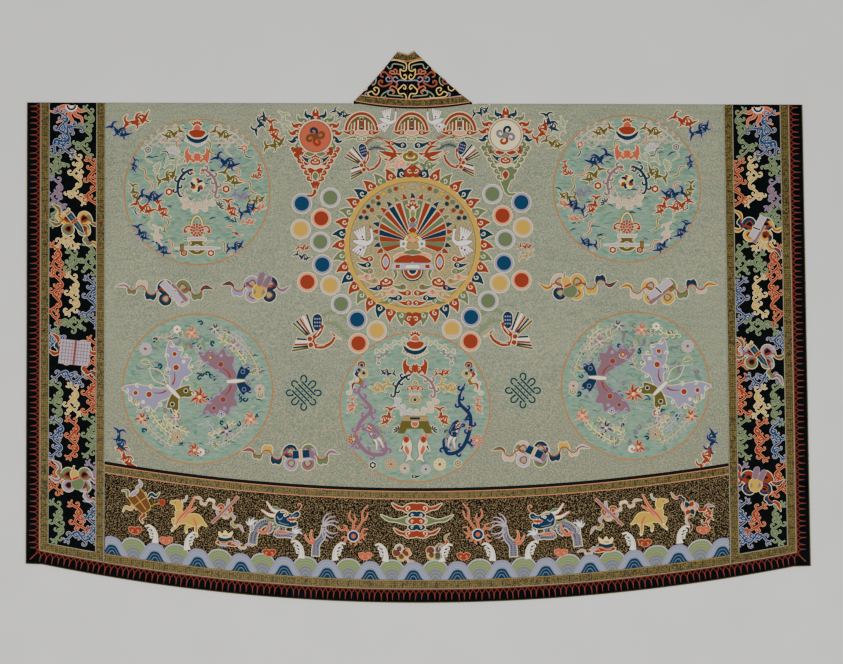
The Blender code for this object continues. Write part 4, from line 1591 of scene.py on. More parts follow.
def twin_fish(pen):
    """Two fish standing on their tails."""
    for side in pen.both(6.5, 0, 8):
        side.draw(
            (SMOOTH, "cream", "plum", 1, (0, -11), (4, -6), (4.4, 1), (1.4, 8), (4, 13), (0, 11.4),
             (-4, 13), (-1.4, 8), (-4, 0), (-3, -7)),
            (SMOOTH, "red", "rose", 3, (0, -10), (2.6, -7), (0.6, -4.4), (-2, -7)),
            (SMOOTH, "rose", None, 2, (1, -2), (3, 1), (1, 7), (-1, 4)),
            ((2, 0.6), "navy", "cream", 1, (4, -2), (7, 2)),
        )


def vase(pen, dye="olive"):
    """A footed vase of lotus under a hoop handle."""
    pen.draw((1.4, "straw", "brown", 0, (-6, -5), (-5, -22), (0, -28), (5, -22), (6, -5)))
    lotus(pen.at(0, -15, 0, 0.9), "rose")
    for side in pen.both(9, -15, 24, 0.7):
        lotus(side, "pink")
    pen.draw(
        (SMOOTH, dye, "straw", 2, (-8, -4), (8, -4), (5, -1), (9, 3), (8, 7), (3, 10), (-3, 10), (-8, 7),
         (-9, 3), (-5, -1)),
        (2.4, "lilac", "cream", 4, (-9, -5), (9, -5)),
    )
    pen.disc(0, 4, 3, "navy", "cream", 4.0)


def knot(pen):
    """An endless knot: a slanting lattice of cord with a loop at each end of each strand."""
    for turn in (45, 135):
        lattice = pen.at(0, 0, turn)
        for x in (-6.6, -2.2, 2.2, 6.6):
            lattice.draw((1.7, "navy", "sage", 1.0 + turn / 90, (x, -10), (x, 10)))
    for turn in range(0, 360, 45):
        reach = 13.4 if turn % 90 == 0 else 12.0
        pen.at(*polar(reach, turn), turn).draw(
            (1.6, "navy", "sage", 1, (-2.4, 3), (-2.6, -2), (0, -4), (2.6, -2), (2.4, 3)),
        )


def arch(pen):
    """A half wheel over a cloud: red tyre, striped fan, small squares."""
    for n, (radius, dye) in enumerate(((17.2, "cream"), (16.4, "red"), (13.8, "cream"), (13.0, "olive"))):
        pen.half_disc(radius, dye, n * 0.7, 1.14)
    for x, dye in ((1.6, "red"), (3.4, "white"), (5.2, "red"), (7.0, "cream"), (8.6, "red"),
            (10.0, "blush")):
        for side in (-x, x):
            pen.draw((1.1, dye, None, 3.4, (side, -1), (side * 0.96, -12.6 + x * 0.5)))
    for y in (-12, -2.6):
        pen.draw(
            (SHARP, "navy", "cream", 4.6, (-1.2, y - 1.2), (1.2, y - 1.2), (1.2, y + 1.2), (-1.2, y + 1.2)),
        )
    pen.draw((SMOOTH, "pink", "cream", 5, (-6, 1), (-3, -1), (0, -0.4), (3, -1), (6, 1), (0, 3.4)))
    for side in pen.both():
        wisp(side.at(10.5, 1, 0, 0.8, 1, 4), "red")
        side.draw(((2.6, 1.8, 0.5), "green", "cream", 0, (0, 8), (8, 5.6), (19, 9)))
        curl(side, 0, 9, 0, 1.9, "green", 1.2, "cream", 1, 2.4)


def flaming_disc(pen, dye, figure, drop, other):
    """A framed disc in a wreath of flames, over a long drop with curled edges."""
    for half in pen.both():
        half.draw(
            (SMOOTH, drop, "cream", 0, (0, 10), (14, 10), (24, 13), (21, 20), (17, 27), (12, 35), (7, 43),
             (3, 52), (0, 58), (0, 34)),
        )
        for y, reach in ((15, 21), (21, 18), (27, 14.5), (33, 11), (39, 7.6), (45, 5)):
            curl(half, reach - 2, y, -12, 1.9, drop, 2.2, "cream", 1, 4.0, 1.0)
        wisp(half.at(7, 24, -24, 0.9, 1, 2), "navy")
        half.draw(
            (SMOOTH, other, "cream", 3, (1, 18), (5, 15), (11, 17), (6, 20)),
            (2.0, "blush", "cream", 3, (0, 32), (5, 30), (9, 31)),
        )
        for n, turn in enumerate(range(0, 150, 21)):
            tongue = half.at(*polar(15, turn), turn * 0.82)
            tongue.draw(
                ((7, 5.4, 3.4, 0.5), ("red", "navy", "green", "red")[n % 4], "cream", 0, (0, 1), (-1.6, -5),
                 (2, -9), (0.4, -14)),
            )
            tongue.at(-1, -3).stroke(spiral(1.5, 0.8), 0.7, "cream", None, 2.4)
    ruyi(pen.at(0, 26, 0, 0.9, 1, 4), "red", "blush")
    pen.draw(
        (SMOOTH, other, "cream", 3, (0, 36), (3, 40), (0, 45), (-3, 40)),
        ((3, 2.4, 0.6), drop, "cream", 0, (0, 54), (-3, 60), (-13, 60), (-20, 62)),
    )
    pen.disc(0, 0, 17.0, "blush", "cream", 3.0)
    pen.disc(0, 0, 15.4, dye, "brown", 5.0)
    for turn, shade in ((20, figure), (110, "red"), (200, figure), (290, "navy")):
        curl(pen, 0, 0, turn, 4.2, shade, 2.8, None, 1, 4.2, 6.0)
    pen.disc(0, 0, 3.0, figure, "brown", 8.0)


# Tools that are tied in a sash: rows to draw, upright, about thirty steps long
TOOLS = {
    "clapper": (
        (SHARP, "plum", "blush", 3, (2, -8), (6.4, -8), (6.4, 17), (2, 17)),
        (SHARP, "lilac", "cream", 4, (-5, -17), (2.4, -17), (2.4, 13), (-5, 13)),
        (1.8, "navy", "cream", 6, (-6, 1), (3.4, -0.6)),
    ),
    "slats": (
        (SMOOTH, "plum", "lavender", 3, (-6, -3), (-8, -15), (-3, -17), (-1, -3)),
        (SMOOTH, "plum", "lavender", 3, (0, -3), (1, -15), (6, -16), (5, -3)),
        (SMOOTH, "yellow", "straw", 3, (-6, -2), (4, -3), (7, 4), (3, 11), (-4, 11), (-8, 4)),
        (SMOOTH, "grey", None, 5, (3, -1), (6, 3), (3, 6)),
        (SMOOTH, "grey", None, 5, (-6, 3), (-3, 6), (-5, 9)),
    ),
    "box": (
        (SHARP, "navy", "lavender", 3, (-9, 4), (-3, -13), (5, -10), (-1, 8)),
        (SHARP, "plum", "lavender", 3, (-3, -13), (1, -17), (9, -14), (5, -10)),
        (SHARP, "lilac", "lavender", 3, (5, -10), (9, -14), (4, 4), (-1, 8)),
        (2.4, "pink", "cream", 5, (-7, -4), (5, 0)),
    ),
    "blade": (
        (SHARP, "blue", "cream", 3, (-3.6, -14), (3.6, -14), (3.2, 8), (0, 17), (-3.2, 8)),
        ((1, 1.6, 0.6), "gold", None, 4.6, (0, -11), (0.8, 0), (0, 11)),
        (2.2, "red", "pink", 5, (-4.6, -3), (4.6, -3)),
        (3, "plum", "straw", 3, (-3, -16), (3, -16)),
        (2, "yellow", "cream", 3, (-4, -19), (0, -17.6), (4, -19)),
    ),
    "gourd": (
        (SMOOTH, "green", "sage", 3, (0, -2), (6, 1), (7, 8), (0, 13), (-7, 8), (-6, 1)),
        (SMOOTH, "yellow", "cream", 3, (0, -12), (4, -9), (4.4, -4), (0, -1), (-4.4, -4), (-4, -9)),
        (2.2, "red", "pink", 5, (-4, -1.4), (4, -1.4)),
        ((1.6, 0.8), "brown", "cream", 3, (0, -12), (3, -16)),
    ),
    "plaque": (
        (SHARP, "lilac", "plum", 3, (-18, -14), (18, -14), (18, 15), (-18, 15)),
        *[(0.8, "plum", None, 4.6, (x, -13), (x, 14)) for x in (-15, -11, -7, -3.4, 4, 7.6, 11, 15)],
        *[(0.8, "plum", None, 4.7, (-17, y), (17, y)) for y in (-10, -6, -2, 2, 6, 10)],
        (1.6, "red", "plum", 5.6, (0.3, -13.6), (0.3, 14.6)),
    ),
    "drum": (
        (SMOOTH, "brown", "yellow", 3, (-8, -9), (-7, -12), (7, -12), (8, -9), (8, -2), (6, 9), (4, 12),
         (-4, 12), (-6, 9), (-8, -2)),
        (SMOOTH, "lavender", "cream", 4, (-6, -11), (0, -13), (6, -11), (0, -9)),
        (0.8, "yellow", None, 4.6, (0, -9), (0, 11)),
        (0.8, "yellow", None, 4.6, (-8, 0), (7, 0)),
    ),
}


def loop(pen, turn, dye, liner, eye, size=1.0):
    """One loop of a tied sash: a broad rounded band round a small eye."""
    ring = pen.at(0, 0, turn, size)
    ring.fill([(1, 0), (4, -5.4), (9, -6.4), (13, -3), (13, 3), (9, 6.4), (4, 5.4)], dye, "cream")
    ring.fill([(2.4, 0), (5.2, -3.3), (9.6, -3), (9.6, 3), (5.2, 3.3)], liner, None, 2.0)
    ring.fill([(3.6, 0), (5.8, -2.3), (8.7, -2), (8.7, 2), (5.8, 2.3)], eye, None, 3.0)


def sash(pen, dyes, high=7.0, span=11.5, liner="red"):
    """A sash in turned-over folds: lobes by turns above and below one bright edge, then a point."""
    x = 0.0
    for n, dye in enumerate(dyes):
        up = high * (-1, 1)[n % 2] * (1 if n < 3 else 0.7)
        reach = span * (1 - 0.08 * n)
        edge = [(x, 0), (x + reach * 0.22, up * 0.45), (x + reach * 0.5, up * 0.55),
            (x + reach * 0.78, up * 0.4), (x + reach, 0)]
        outer = [(x + reach * 1.04, up * 0.7), (x + reach * 0.8, up * 1.3), (x + reach * 0.5, up * 1.14),
            (x + reach * 0.2, up * 1.3), (x - reach * 0.04, up * 0.8)]
        pen.fill(edge + outer, dye, "cream", 1.0 + 0.3 * n)
        pen.stroke(edge, 1.1, liner, None, 4.0)
        x += reach
    point = [(x - 1, 0), (x + 4, -up * 0.4), (x + 12, up * 0.1)]
    pen.stroke(point, (2.4, 4.2, 0.5), dyes[0], "cream", 1.0, 0.5)
    pen.stroke(point, (1.2, 1.0, 0.4), liner, None, 4.0)


def emblem(pen, kind, lean, dyes, eye="sage", left=1, right=1):
    """A tool tied in a sash, with two loops above and two below, and long folded ends."""
    for side, turn, reach in zip(pen.both(4, 1), (dyes, dyes[::-1]), (right, left)):
        sash(side.at(2, 0, -8), turn[:reach])
        loop(side, -50, turn[1], "red", eye, 1.12)
        loop(side, 52, turn[-1], "red", eye, 1.02)
    pen.at(0, 0, lean, 0.9, 1, 3).draw(*TOOLS[kind])


# The field: medallion, stars, roundels, tied tools, birds and wheels


HEART = (412.4, 244.8)
MEDALLION = 68.4            # radius of its ring
FINS = 40                   # hooked flames round the ring
FIN_TURN = 9.0
FAN_REACH = 33.5            # the fan's round edge, and how far its middle is from the fan's foot
FAN_RISE = 8.5
# Discs round the medallion: dye and place
STARS = (
    ("blue", 301.6, 203.9), ("green", 330, 197.9), ("red", 320.9, 218.6), ("yellow", 300.5, 229.5),
    ("green", 320.1, 242), ("blue", 322.2, 264.8), ("red", 307.3, 282.1), ("yellow", 330.2, 285.4),
    ("green", 341, 304.1), ("blue", 357.2, 319.6), ("yellow", 376.8, 330.5), ("red", 358.6, 343.3),
    ("green", 491.9, 193.8), ("blue", 520.8, 202), ("red", 502.1, 215.3), ("yellow", 522.6, 227),
    ("green", 504.9, 239), ("blue", 503.7, 262.7), ("red", 521.3, 279.8), ("yellow", 499.6, 282.9),
    ("green", 488.1, 300.5), ("blue", 471, 316.8), ("yellow", 451.9, 328.8), ("red", 470.5, 341),
)
STAR_BANDS = {"blue": "lavender", "green": "lilac", "yellow": "blush", "red": "pink"}
FIN_DYES = ("navy", "red", "green", "red")
DOT_DYES = ("yellow", "red", "green", "yellow", "red", "green", "navy", "red", "navy")
RAYS = 10                   # rays of the fan on each side of the middle one
RAY_TURN = 10.6             # degrees between them


def build_medallion():
    """The great medallion: a fan of rays over a lotus seat, in a ring of hooked flames."""
    ground = Work(GROUND_LIFT)
    Pen(ground, *HEART).disc(0, 0, 64.5, "ground", None, -1.0)
    ground.finish("medallion_ground", {"ground": medallion_silk})
    work = Work()
    pen = Pen(work, *HEART)
    for low, high, dye, level in ((62.8, MEDALLION, "brown", 0), (63.3, 67.9, "yellow", 1)):
        pen.disc(0, 0, high, dye, None, level, 0, low)
    for n in range(FINS):
        turn = FIN_TURN * n
        place = pen.at(*polar(MEDALLION, turn), turn, 1.0, 1 if n < FINS // 2 else -1)
        if n % (FINS // 2):
            fin(place, FIN_DYES[(min(n, FINS - n) - 1) % len(FIN_DYES)])
        else:
            for half in place.both():
                half.fill([(0, 0), (8, 0), (8.6, -6), (4, -10), (0, -13)], "red", "cream")
                curl(half, 1, -4, 20, 2.4, "cream", 0.8, None, 1, 1.6, 3.0)
    for half in pen.both():
        for n, dye in enumerate(DOT_DYES):
            half.disc(*polar(58.6, 10.3 + 6.5 * n), 2.1, dye, "brown", 1.0, 0.3)
            if n < 3:
                half.disc(*polar(53.4, 39.7 + 10 * n), 2.1, DOT_DYES[-n - 1], "brown", 1.0, 0.3)
    fan = pen.at(0, -3)
    for n in range(-RAYS, RAYS + 1):
        turn = n * RAY_TURN
        rise = math.cos(math.radians(turn))
        aside = FAN_RISE * math.sin(math.radians(turn))
        far = FAN_RISE * rise + math.sqrt(FAN_REACH ** 2 - aside ** 2)
        ray = [polar(8, turn), polar(mix(8, far, 0.5), turn), polar(far, turn)]
        fan.stroke(ray, (1.2, 3.7, 5.8), ("red", "green", "red", "navy")[abs(n) % 4], "cream", 1.0, 0.5)
        fan.at(*polar(far + 1.2, turn), turn, 0.46, 1 if n > 0 else -1).draw(
            (SMOOTH, ("navy", "red", "green")[abs(n) % 3], "cream", 1, (-5, 0), (-4, -7), (3, -14), (4, -7),
             (5, 0)),
        )
    pen.disc(0, -2, 9.0, "straw", "cream", 2.0)
    for half in pen.both():
        half.stroke([(0, -46.6), (18, -41.6), (31, -26), (33.6, -8), (28, 6), (12, 8.4)], 0.8, "blush",
            "brown", 2.0, 0.4)
    for y, half_wide, half_high, dye, rim in (
        (-31, 2.6, 4.2, "moss", "straw"), (-25, 3.4, 3.2, "red", "cream"),
        (-19.6, 3.8, 3.2, "grey", "lavender"), (-14.6, 4.4, 3.0, "red", "cream"),
        (-9.6, 5.0, 2.8, "yellow", "brown"), (-5.0, 5.6, 2.4, "pink", "brown"),
        (1.0, 7.4, 4.0, "tan", "brown"), (7.4, 9.4, 2.6, "green", "cream"),
    ):
        pen.at(0, y, 0, 1, 1, 4).fill([(-half_wide, 0), (0, -half_high), (half_wide, 0), (0, half_high)],
            dye, rim)
    petals(pen.at(0, -35, 0, 1, 1, 4), 5, 0, 8, 2.6, "red", "cream", 1.0, -56, 140)
    pen.disc(0, -37, 2.0, "white", "brown", 8.0, 0.5)
    for half in pen.both(0, 0, 0, 1, 4):
        half.draw(
            (SHARP, "white", "cream", 1, (6.4, -4), (12, -4), (12, 2), (6.4, 2)),
            (SHARP, "grey", None, 2.6, (7.8, -2.6), (10.6, -2.6), (10.6, 0.6), (7.8, 0.6)),
            (SMOOTH, "pink", "cream", 0, (2, 9), (12, 8), (19, 12), (12, 15), (4, 14)),
            (SMOOTH, "red", "cream", 1, (0, 11), (8, 10.4), (15, 13), (19, 17), (8, 18), (0, 17)),
            (SHARP, "lilac", "grey", 3, (0, 18.4), (20, 18.4), (22, 24.6), (0, 24.6)),
            (SHARP, "white", "brown", 5, (0, 19.8), (6, 19.8), (8, 23.6), (0, 23.6)),
            (SHARP, "red", "cream", 5, (12.4, 19.6), (17, 19.6), (17.4, 23.4), (12.8, 23.4)),
            ((3.4, 2.6, 1.4), "green", "cream", 1, (18, 25), (16.4, 30), (19, 35)),
        )
    for n, (radius, dye) in enumerate(((11, "navy"), (9.6, "cream"), (8.8, "red"), (5.0, "cream"),
            (3.8, "navy"))):
        pen.at(0, 25.4, 0, 1, 1, 4).half_disc(radius, dye, n * 0.7, -1.0)
    for half in pen.both():
        crane(half.at(48, -3, -8, 0.98, -1))
        half.draw(
            (SMOOTH, "red", "cream", 1, (27, 8), (30.6, 12), (31.6, 17), (30.6, 22), (27, 26), (23.4, 22),
             (22.4, 17), (23.4, 12)),
            (SMOOTH, "lavender", "cream", 3, (27, 12), (29.4, 17), (27, 22), (24.6, 17)),
        )
        ruyi(half.at(26, 38, 10, 1.15), "red", "cream")
        for x, y, turn, dye, core in ((44, 14, 0, "red", "cream"), (46, 20, 0, "navy", "cream"),
                (44, 26, -6, "green", "pink"), (47, 32, 10, "pink", "navy"), (35, 43, 10, "navy", "pink"),
                (21, 47, 6, "pink", "navy"), (11, 42, 0, "green", "red"), (31, 50, 24, "tan", "cream"),
                (15, 53, 4, "navy", "cream"), (6, 48, 0, "red", "cream"), (5, 58, 0, "red", "cream"),
                (24, 56, 18, "green", "cream"), (39, 36, 0, "tan", "red")):
            wisp(half.at(x, y, turn, 0.98), dye, core)
    work.finish("medallion")
    work = Work()
    for dye, u, v in STARS:
        Pen(work, u, v).disc(0, 0, 10.2, "cream", None, 0.0)
        Pen(work, u, v).disc(0, 0, 9.4, STAR_BANDS[dye], None, 1.0)
        Pen(work, u, v).disc(0, 0, 7.2, dye, None, 2.0)
    work.finish("star_discs")


def scatter(pen, *rows):
    """Rows of a motif, its place, turn and size (below 0: flipped) and its dyes."""
    for motif, x, y, turn, size, *dyes in rows:
        motif(pen.at(x, y, turn, abs(size), 1 if size > 0 else -1), *dyes)


def arc(radius, first, last, y=0.0):
    """Places along a circle between two turns."""
    return [(polar(radius, turn)[0], y + polar(radius, turn)[1]) for turn in np.linspace(first, last, 7)]


def thread(pen, dye):
    """A loose winding ribbon."""
    pen.stroke([(-9, 2), (-5, -1.6), (-1, 0), (2, 2.2), (6, 0.6), (9, -2.6)], (0.8, 1.5, 1, 1.6, 0.5), dye,
        "cream", 0.0, 0.45)


def leaves(pen, dye):
    """A spray of narrow leaves."""
    petals(pen, 5, 1, 8, 2.3, dye, "cream", 1.0, -60, 150)


def strokes(pen, draws, count, radius, dyes):
    """Short strokes of thread that shade the ground."""
    for _ in range(count):
        spot = pen.at(*polar(radius * math.sqrt(draws.random()), draws.uniform(0, 360)),
            draws.uniform(-35, 35), draws.uniform(0.7, 1.4))
        spot.stroke([(-3, 0.6), (0, -0.5), (3.4, 0)], (0.4, 1.3, 0.4), draws.choice(dyes), None, -1.0)


def fill_clouds(pen, draws):
    """Upper roundel: cloud banks and a canopy over a bat, a wreath, and a vase of lotus."""
    strokes(pen, draws, 170, 68, ("jade", "blue", "jade", "moss"))
    for half in pen.both():
        for path in ([(11, -62), (24, -63), (37, -58), (49, -47)], [(14, -55), (24, -57), (36, -53)],
                [(15, -49), (26, -49), (38, -50)]):
            scroll(half, path, "blush", None, 1.6, 2.9, 4, 0.0, 0, 1.3)
        cloud(half.at(24, -58, 20, 0.9, 1, 2), "olive")
        scroll(half, [(0, 12), (8, 8), (13, -2)], "blush", None, 1.2, 2.4, 4, 1.0, 0, 1.1)
        curl(half, 3, -18, -20, 1.8, "red", 1.2, "cream", 1, 2.6)
    for dye, first, last in (("navy", -12, -118), ("plum", 12, 118), ("blush", -124, -182),
            ("blush", 124, 182)):
        scroll(pen, arc(19.5, first, last, -4), dye, "cream", 2.8, 2.8, 5, 1.0, 0.6, 1.9)
    pinwheel(pen.at(0, -7), ("red", "navy", "straw") * 3, 7.5)
    pompon(pen.at(0, 38, 0, 1.1, 1, 6), "red", "rose")
    scatter(pen,
        (canopy, 0, -57, 0, 1.05, "lilac"), (bat, 0, -36, 0, 1.0, "rose"), (vase, 0, 52, 0, 1.0),
        (cloud, -63, -27, 95, 0.6, "navy", "lavender"), (cloud, -63, 0, 75, 0.8, "olive"),
        (cloud, -54, 16, 25, 1.0, "red"), (cloud, -56, 41, 55, 0.85, "navy", "lavender"),
        (cloud, -36, 56, 50, 0.85, "navy", "lavender"), (cloud, -40, 43, 85, 0.8, "blush"),
        (cloud, -30, -14, -30, 1.0, "olive"), (cloud, -22, -30, -12, 0.9, "sage"),
        (cloud, -47, 5, 5, 1.0, "navy", "lavender"), (cloud, -36, 17, 60, 0.9, "red"),
        (cloud, 28, -30, 25, 1.1, "navy", "lavender"), (cloud, 33, -14, 40, 1.0, "olive"),
        (cloud, 44, 4, 12, 0.8, "grey", "lavender"), (cloud, 59, 8, -10, 0.8, "olive"),
        (cloud, 51, 18, -35, 0.9, "navy", "lavender"), (cloud, 33, 16, 65, 0.9, "red"),
        (cloud, 62, 16, -25, 0.6, "rose"), (cloud, 38, 55, -20, 0.8, "navy", "lavender"),
        (cloud, 62, -22, 85, 0.6, "red"), (cloud, 51, 30, 0, 0.6, "rose"),
        (leaves, -25, -38, 15, 1.0, "lilac"), (leaves, 21, 15, 45, 0.8, "navy"),
        (leaves, -37, -23, -70, 0.9, "sage"), (leaves, 58, -13, 10, 0.8, "red"),
        (flower, -28, 0, 0, 1.0, "red", "white"), (flower, 29, -3, 0, 1.0, "red", "straw"),
        (flower, -13, 61, 0, 0.9, "red", "navy"), (flower, 14, 61, 0, 0.9, "red", "white"),
        (flower, -49, -42, 0, 0.9, "grey", "navy"), (flower, 47, -44, 0, 0.8, "rose", "straw"),
    )
    for n in range(22):
        thread(pen.at(*polar((62, 46, 54)[n % 3], 17 * n), draws.uniform(30, 100)),
            ("rose", "gold", "sage", "blue")[n % 4])
    pen.draw(
        ((0.8, 2.6, 2.6, 2.6, 0.8), "lilac", "cream", 6, (-22, 56), (-8, 56), (8, 56), (23, 56)),
        (2.4, "gold", "brown", 7, (-15, 53), (-15, 59)),
    )


def fill_butterflies(pen, draws):
    """Lower roundel at a side: two great butterflies among blossoms and coral sprays."""
    strokes(pen, draws, 150, 68, ("jade", "blue", "moss", "lilac", "jade"))
    for path in (arc(62, -158, -108), arc(52, -165, -118), arc(44, -170, -130), arc(63, 18, 80),
            arc(55, 20, 60), arc(60, 120, 158), arc(48, 130, 165), [(-34, 30), (-24, 42), (-26, 54)],
            [(34, -58), (44, -50), (46, -38)], [(8, 30), (16, 42), (10, 56)],
            [(-2, -44), (4, -32), (0, -18)], [(-20, -60), (-30, -52), (-44, -52)]):
        coral(pen, path, draws.choice(("straw", "blush", "blush", "lilac")))
    butterfly(pen.at(-26, 1, -45, 1.06, 1, 2), "lavender", "cream", "red", "olive")
    butterfly(pen.at(36, -8, -94, 0.98, 1, 2), "plum", "lavender", "red", "navy")
    for n in range(80):
        curl(pen, *polar(67 * math.sqrt(draws.random()), 137.5 * n), draws.uniform(0, 360),
            draws.uniform(1.6, 2.4), draws.choice(("navy", "grey", "jade", "blue", "plum", "moss")),
            draws.uniform(1.2, 2.0), None, draws.choice((1, -1)), 2.4, -0.4)
    for n in range(24):
        leaf = pen.at(*polar(draws.uniform(34, 66), -70 + 6 * n), draws.uniform(0, 360), 0.8)
        leaf.fill([(-5, 2), (-2, -2), (3, -3), (6, 1), (2, 0), (-1, 1)], ("grey", "moss")[n % 2], None, -0.4)
    scatter(pen.at(0, 0, 0, 1, 1, 2),
        (blossom, 2, 8, 0, 1.15, "red", "rose"), (blossom, -56, 30, 20, 0.85, "red", "pink"),
        (blossom, -3, 61, 0, 0.9, "red", "rose"), (blossom, 53, 30, 0, 0.9, "rose", "pink"),
        (blossom, -6, -56, 0, 0.85, "rose", "pink"), (blossom, 36, -44, 0, 0.8, "plum", "lilac"),
        (blossom, 17, -60, 20, 0.7, "navy", "lilac"), (blossom, 29, 42, 0, 0.85, "navy", "lavender"),
        (blossom, -22, 30, 40, 0.7, "plum", "lilac"), (pompon, -52, -40, 0, 1.0, "lilac", "red"),
        (pompon, 62, 0, 0, 0.8, "blush", "red"), (pompon, -20, 48, 0, 0.9, "tan", "navy"),
    )
    for n, (dye, heart) in enumerate((("moss", "rose"), ("lavender", "navy"), ("white", "red"),
            ("red", "straw")) * 2):
        flower(pen.at(*polar((63, 34)[n % 2], 95 + 41 * n), 0, 0.9, 1, 2), dye, heart)
        leaves(pen.at(*polar(58, 70 + 45 * n), 150 + 45 * n, 0.7, 1, 2), ("green", "moss")[n % 2])


def fill_dragons(pen, draws):
    """Lower middle roundel: two climbing dragons round a vase in a wreath."""
    strokes(pen, draws, 130, 70, ("jade", "moss", "tan", "jade"))
    for half in pen.both():
        scroll(half, [(8, -68), (24, -62), (40, -54)], "sage", "cream", 1.2, 1.6, 5, 0.0)
        scroll(half, [(25, -56), (33, -52), (38, -44)], "grey", "cream", 1.2, 1.5, 5, 0.0)
        scroll(half, arc(66, 58, 78), "blush", "cream", 2.0, 2.0, 5, 0.0)
    dragon(pen.at(0, 0, 0, 1, 1, 2), [(-50, -28), (-56, -14), (-44, 2), (-55, 16), (-58, 32), (-46, 46),
        (-30, 46), (-31, 32), (-40, 24)], "plum", "lavender")
    dragon(pen.at(0, 0, 0, 1, -1, 2), [(-50, -24), (-44, -6), (-55, 8), (-54, 26), (-46, 42), (-33, 46),
        (-29, 34), (-38, 22)], "navy", "lavender")
    for dye, first, last in (("navy", -10, -96), ("plum", 10, 96), ("lilac", -98, -176),
            ("blush", 98, 176)):
        scroll(pen, arc(20, first, last, -13), dye, "cream", 2.6, 2.7, 5, 1.0, 0.6, 1.8)
    for half, dye in zip(pen.both(0, 0, 0, 1, 1), ("red", "navy")):
        cloud(half.at(27, -34, -10, 0.7), dye)
        cloud(half.at(33, -20, 20, 0.9), "tan", "straw")
        cloud(half.at(27, 9, 65, 0.9), "red")
        cloud(half.at(63, -2, 80, 0.7), "rose", "cream")
        for turn, other in ((-70, "red"), (10, "lavender"), (100, "yellow")):
            loop(half.at(52, -38), turn, other, "sage", "navy", 0.62)
        sash(half.at(53, -36, 62, 0.62), (dye, "gold"))
        for n in range(3):
            half.draw(
                (1.0, "grey", None, 0, (22 + 6 * n, -56 + 3 * n), (28 + 6 * n, -56 + 3 * n)),
                (1.0, "grey", None, 0, (28 + 6 * n, -56 + 3 * n), (28 + 6 * n, -52 + 3 * n)),
            )
    scatter(pen.at(0, 0, 0, 1, 1, 1),
        (canopy, 0, -61, 0, 1.1, "tan"), (bat, 0, -40, 0, 1.0, "red"), (vase, 0, -10, 0, 0.62, "tan"),
        (twin_fish, 0, 40, 0, 1.1), (pompon, -24, 57, 0, 1.0, "tan", "red"),
        (pompon, 25, 57, 0, 1.0, "straw", "red"), (pompon, -61, 32, 0, 0.9, "red", "straw"),
        (pompon, 62, 33, 0, 0.9, "rose", "straw"), (pompon, -10, 61, 0, 0.8, "blush", "navy"),
        (pompon, 11, 62, 0, 0.8, "lilac", "navy"), (flower, -42, 58, 0, 0.9, "navy", "straw"),
        (flower, 43, 56, 0, 0.9, "moss", "red"), (leaves, -16, 24, -40, 0.8, "navy"),
        (leaves, 17, 24, 40, 0.8, "navy"), (wisp, 0, 69, 0, 0.7, "navy"), (wisp, 10, 28, 0, 0.6, "rose"),
    )
    pen.at(0, 15, 0, 1, 1, 2).draw(
        (SHARP, "tan", "gold", 1, (-12, -6), (12, -6), (12, -1), (-12, -1)),
        (SHARP, "navy", None, 3, (-5, -5), (5, -5), (5, -2.6), (-5, -2.6)),
        (SHARP, "olive", "gold", 2, (-13, -1), (13, -1), (17, 11), (11, 11), (8, 6), (-8, 6), (-11, 11),
         (-17, 11)),
        (SMOOTH, "rose", "cream", 4, (-3, 0), (3, 0), (2, 4), (-2, 4)),
    )


# Roundels: what fills each, its place, radius and flip
ROUNDELS = (
    (fill_clouds, 196.9, 192.6, 72.7, 1), (fill_clouds, 626.4, 188.2, 73.3, -1),
    (fill_butterflies, 198, 389.5, 74.9, 1), (fill_butterflies, 635.4, 385.1, 73.7, -1),
    (fill_dragons, 415.2, 407, 74.8, 1),
)


ROUNDEL_SEED = 40


def build_roundels():
    """Five roundels, each in its own thin orange outline."""
    ground = Work(GROUND_LIFT)
    for fill, u, v, radius, flip in ROUNDELS:
        Pen(ground, u, v).disc(0, 0, radius, "ground", None, -1.0)
    ground.finish("roundel_grounds", {"ground": roundel_silk})
    for n, (fill, u, v, radius, flip) in enumerate(ROUNDELS):
        work = Work()
        Pen(work, u, v).disc(0, 0, radius + 0.5, "orange", None, 0.0, 0, radius - 0.6)
        fill(Pen(work, u, v, 0, 1, flip, 1.0), random.Random(n + ROUNDEL_SEED))
        work.finish(f"roundel_{n + 1}")


# Tied tools: place, tool, its lean, dyes, and how many folds its sash has to the left and right
FIELD_EMBLEMS = (
    (174, 293, "clapper", -44, ("navy", "green", "blush", "navy", "lilac"), 4, 2),
    (261, 289, "slats", 24, ("lavender", "navy", "yellow", "lavender", "navy"), 2, 1),
    (568, 286, "gourd", -24, ("navy", "yellow", "navy", "blush", "yellow"), 1, 3),
    (659, 290, "clapper", 52, ("yellow", "green", "navy", "blush", "yellow"), 2, 4),
    (300, 457, "box", 66, ("lavender", "green", "yellow", "navy", "plum"), 4, 2),
    (532, 453, "box", 96, ("lilac", "navy", "yellow", "blush", "green"), 2, 4),
)
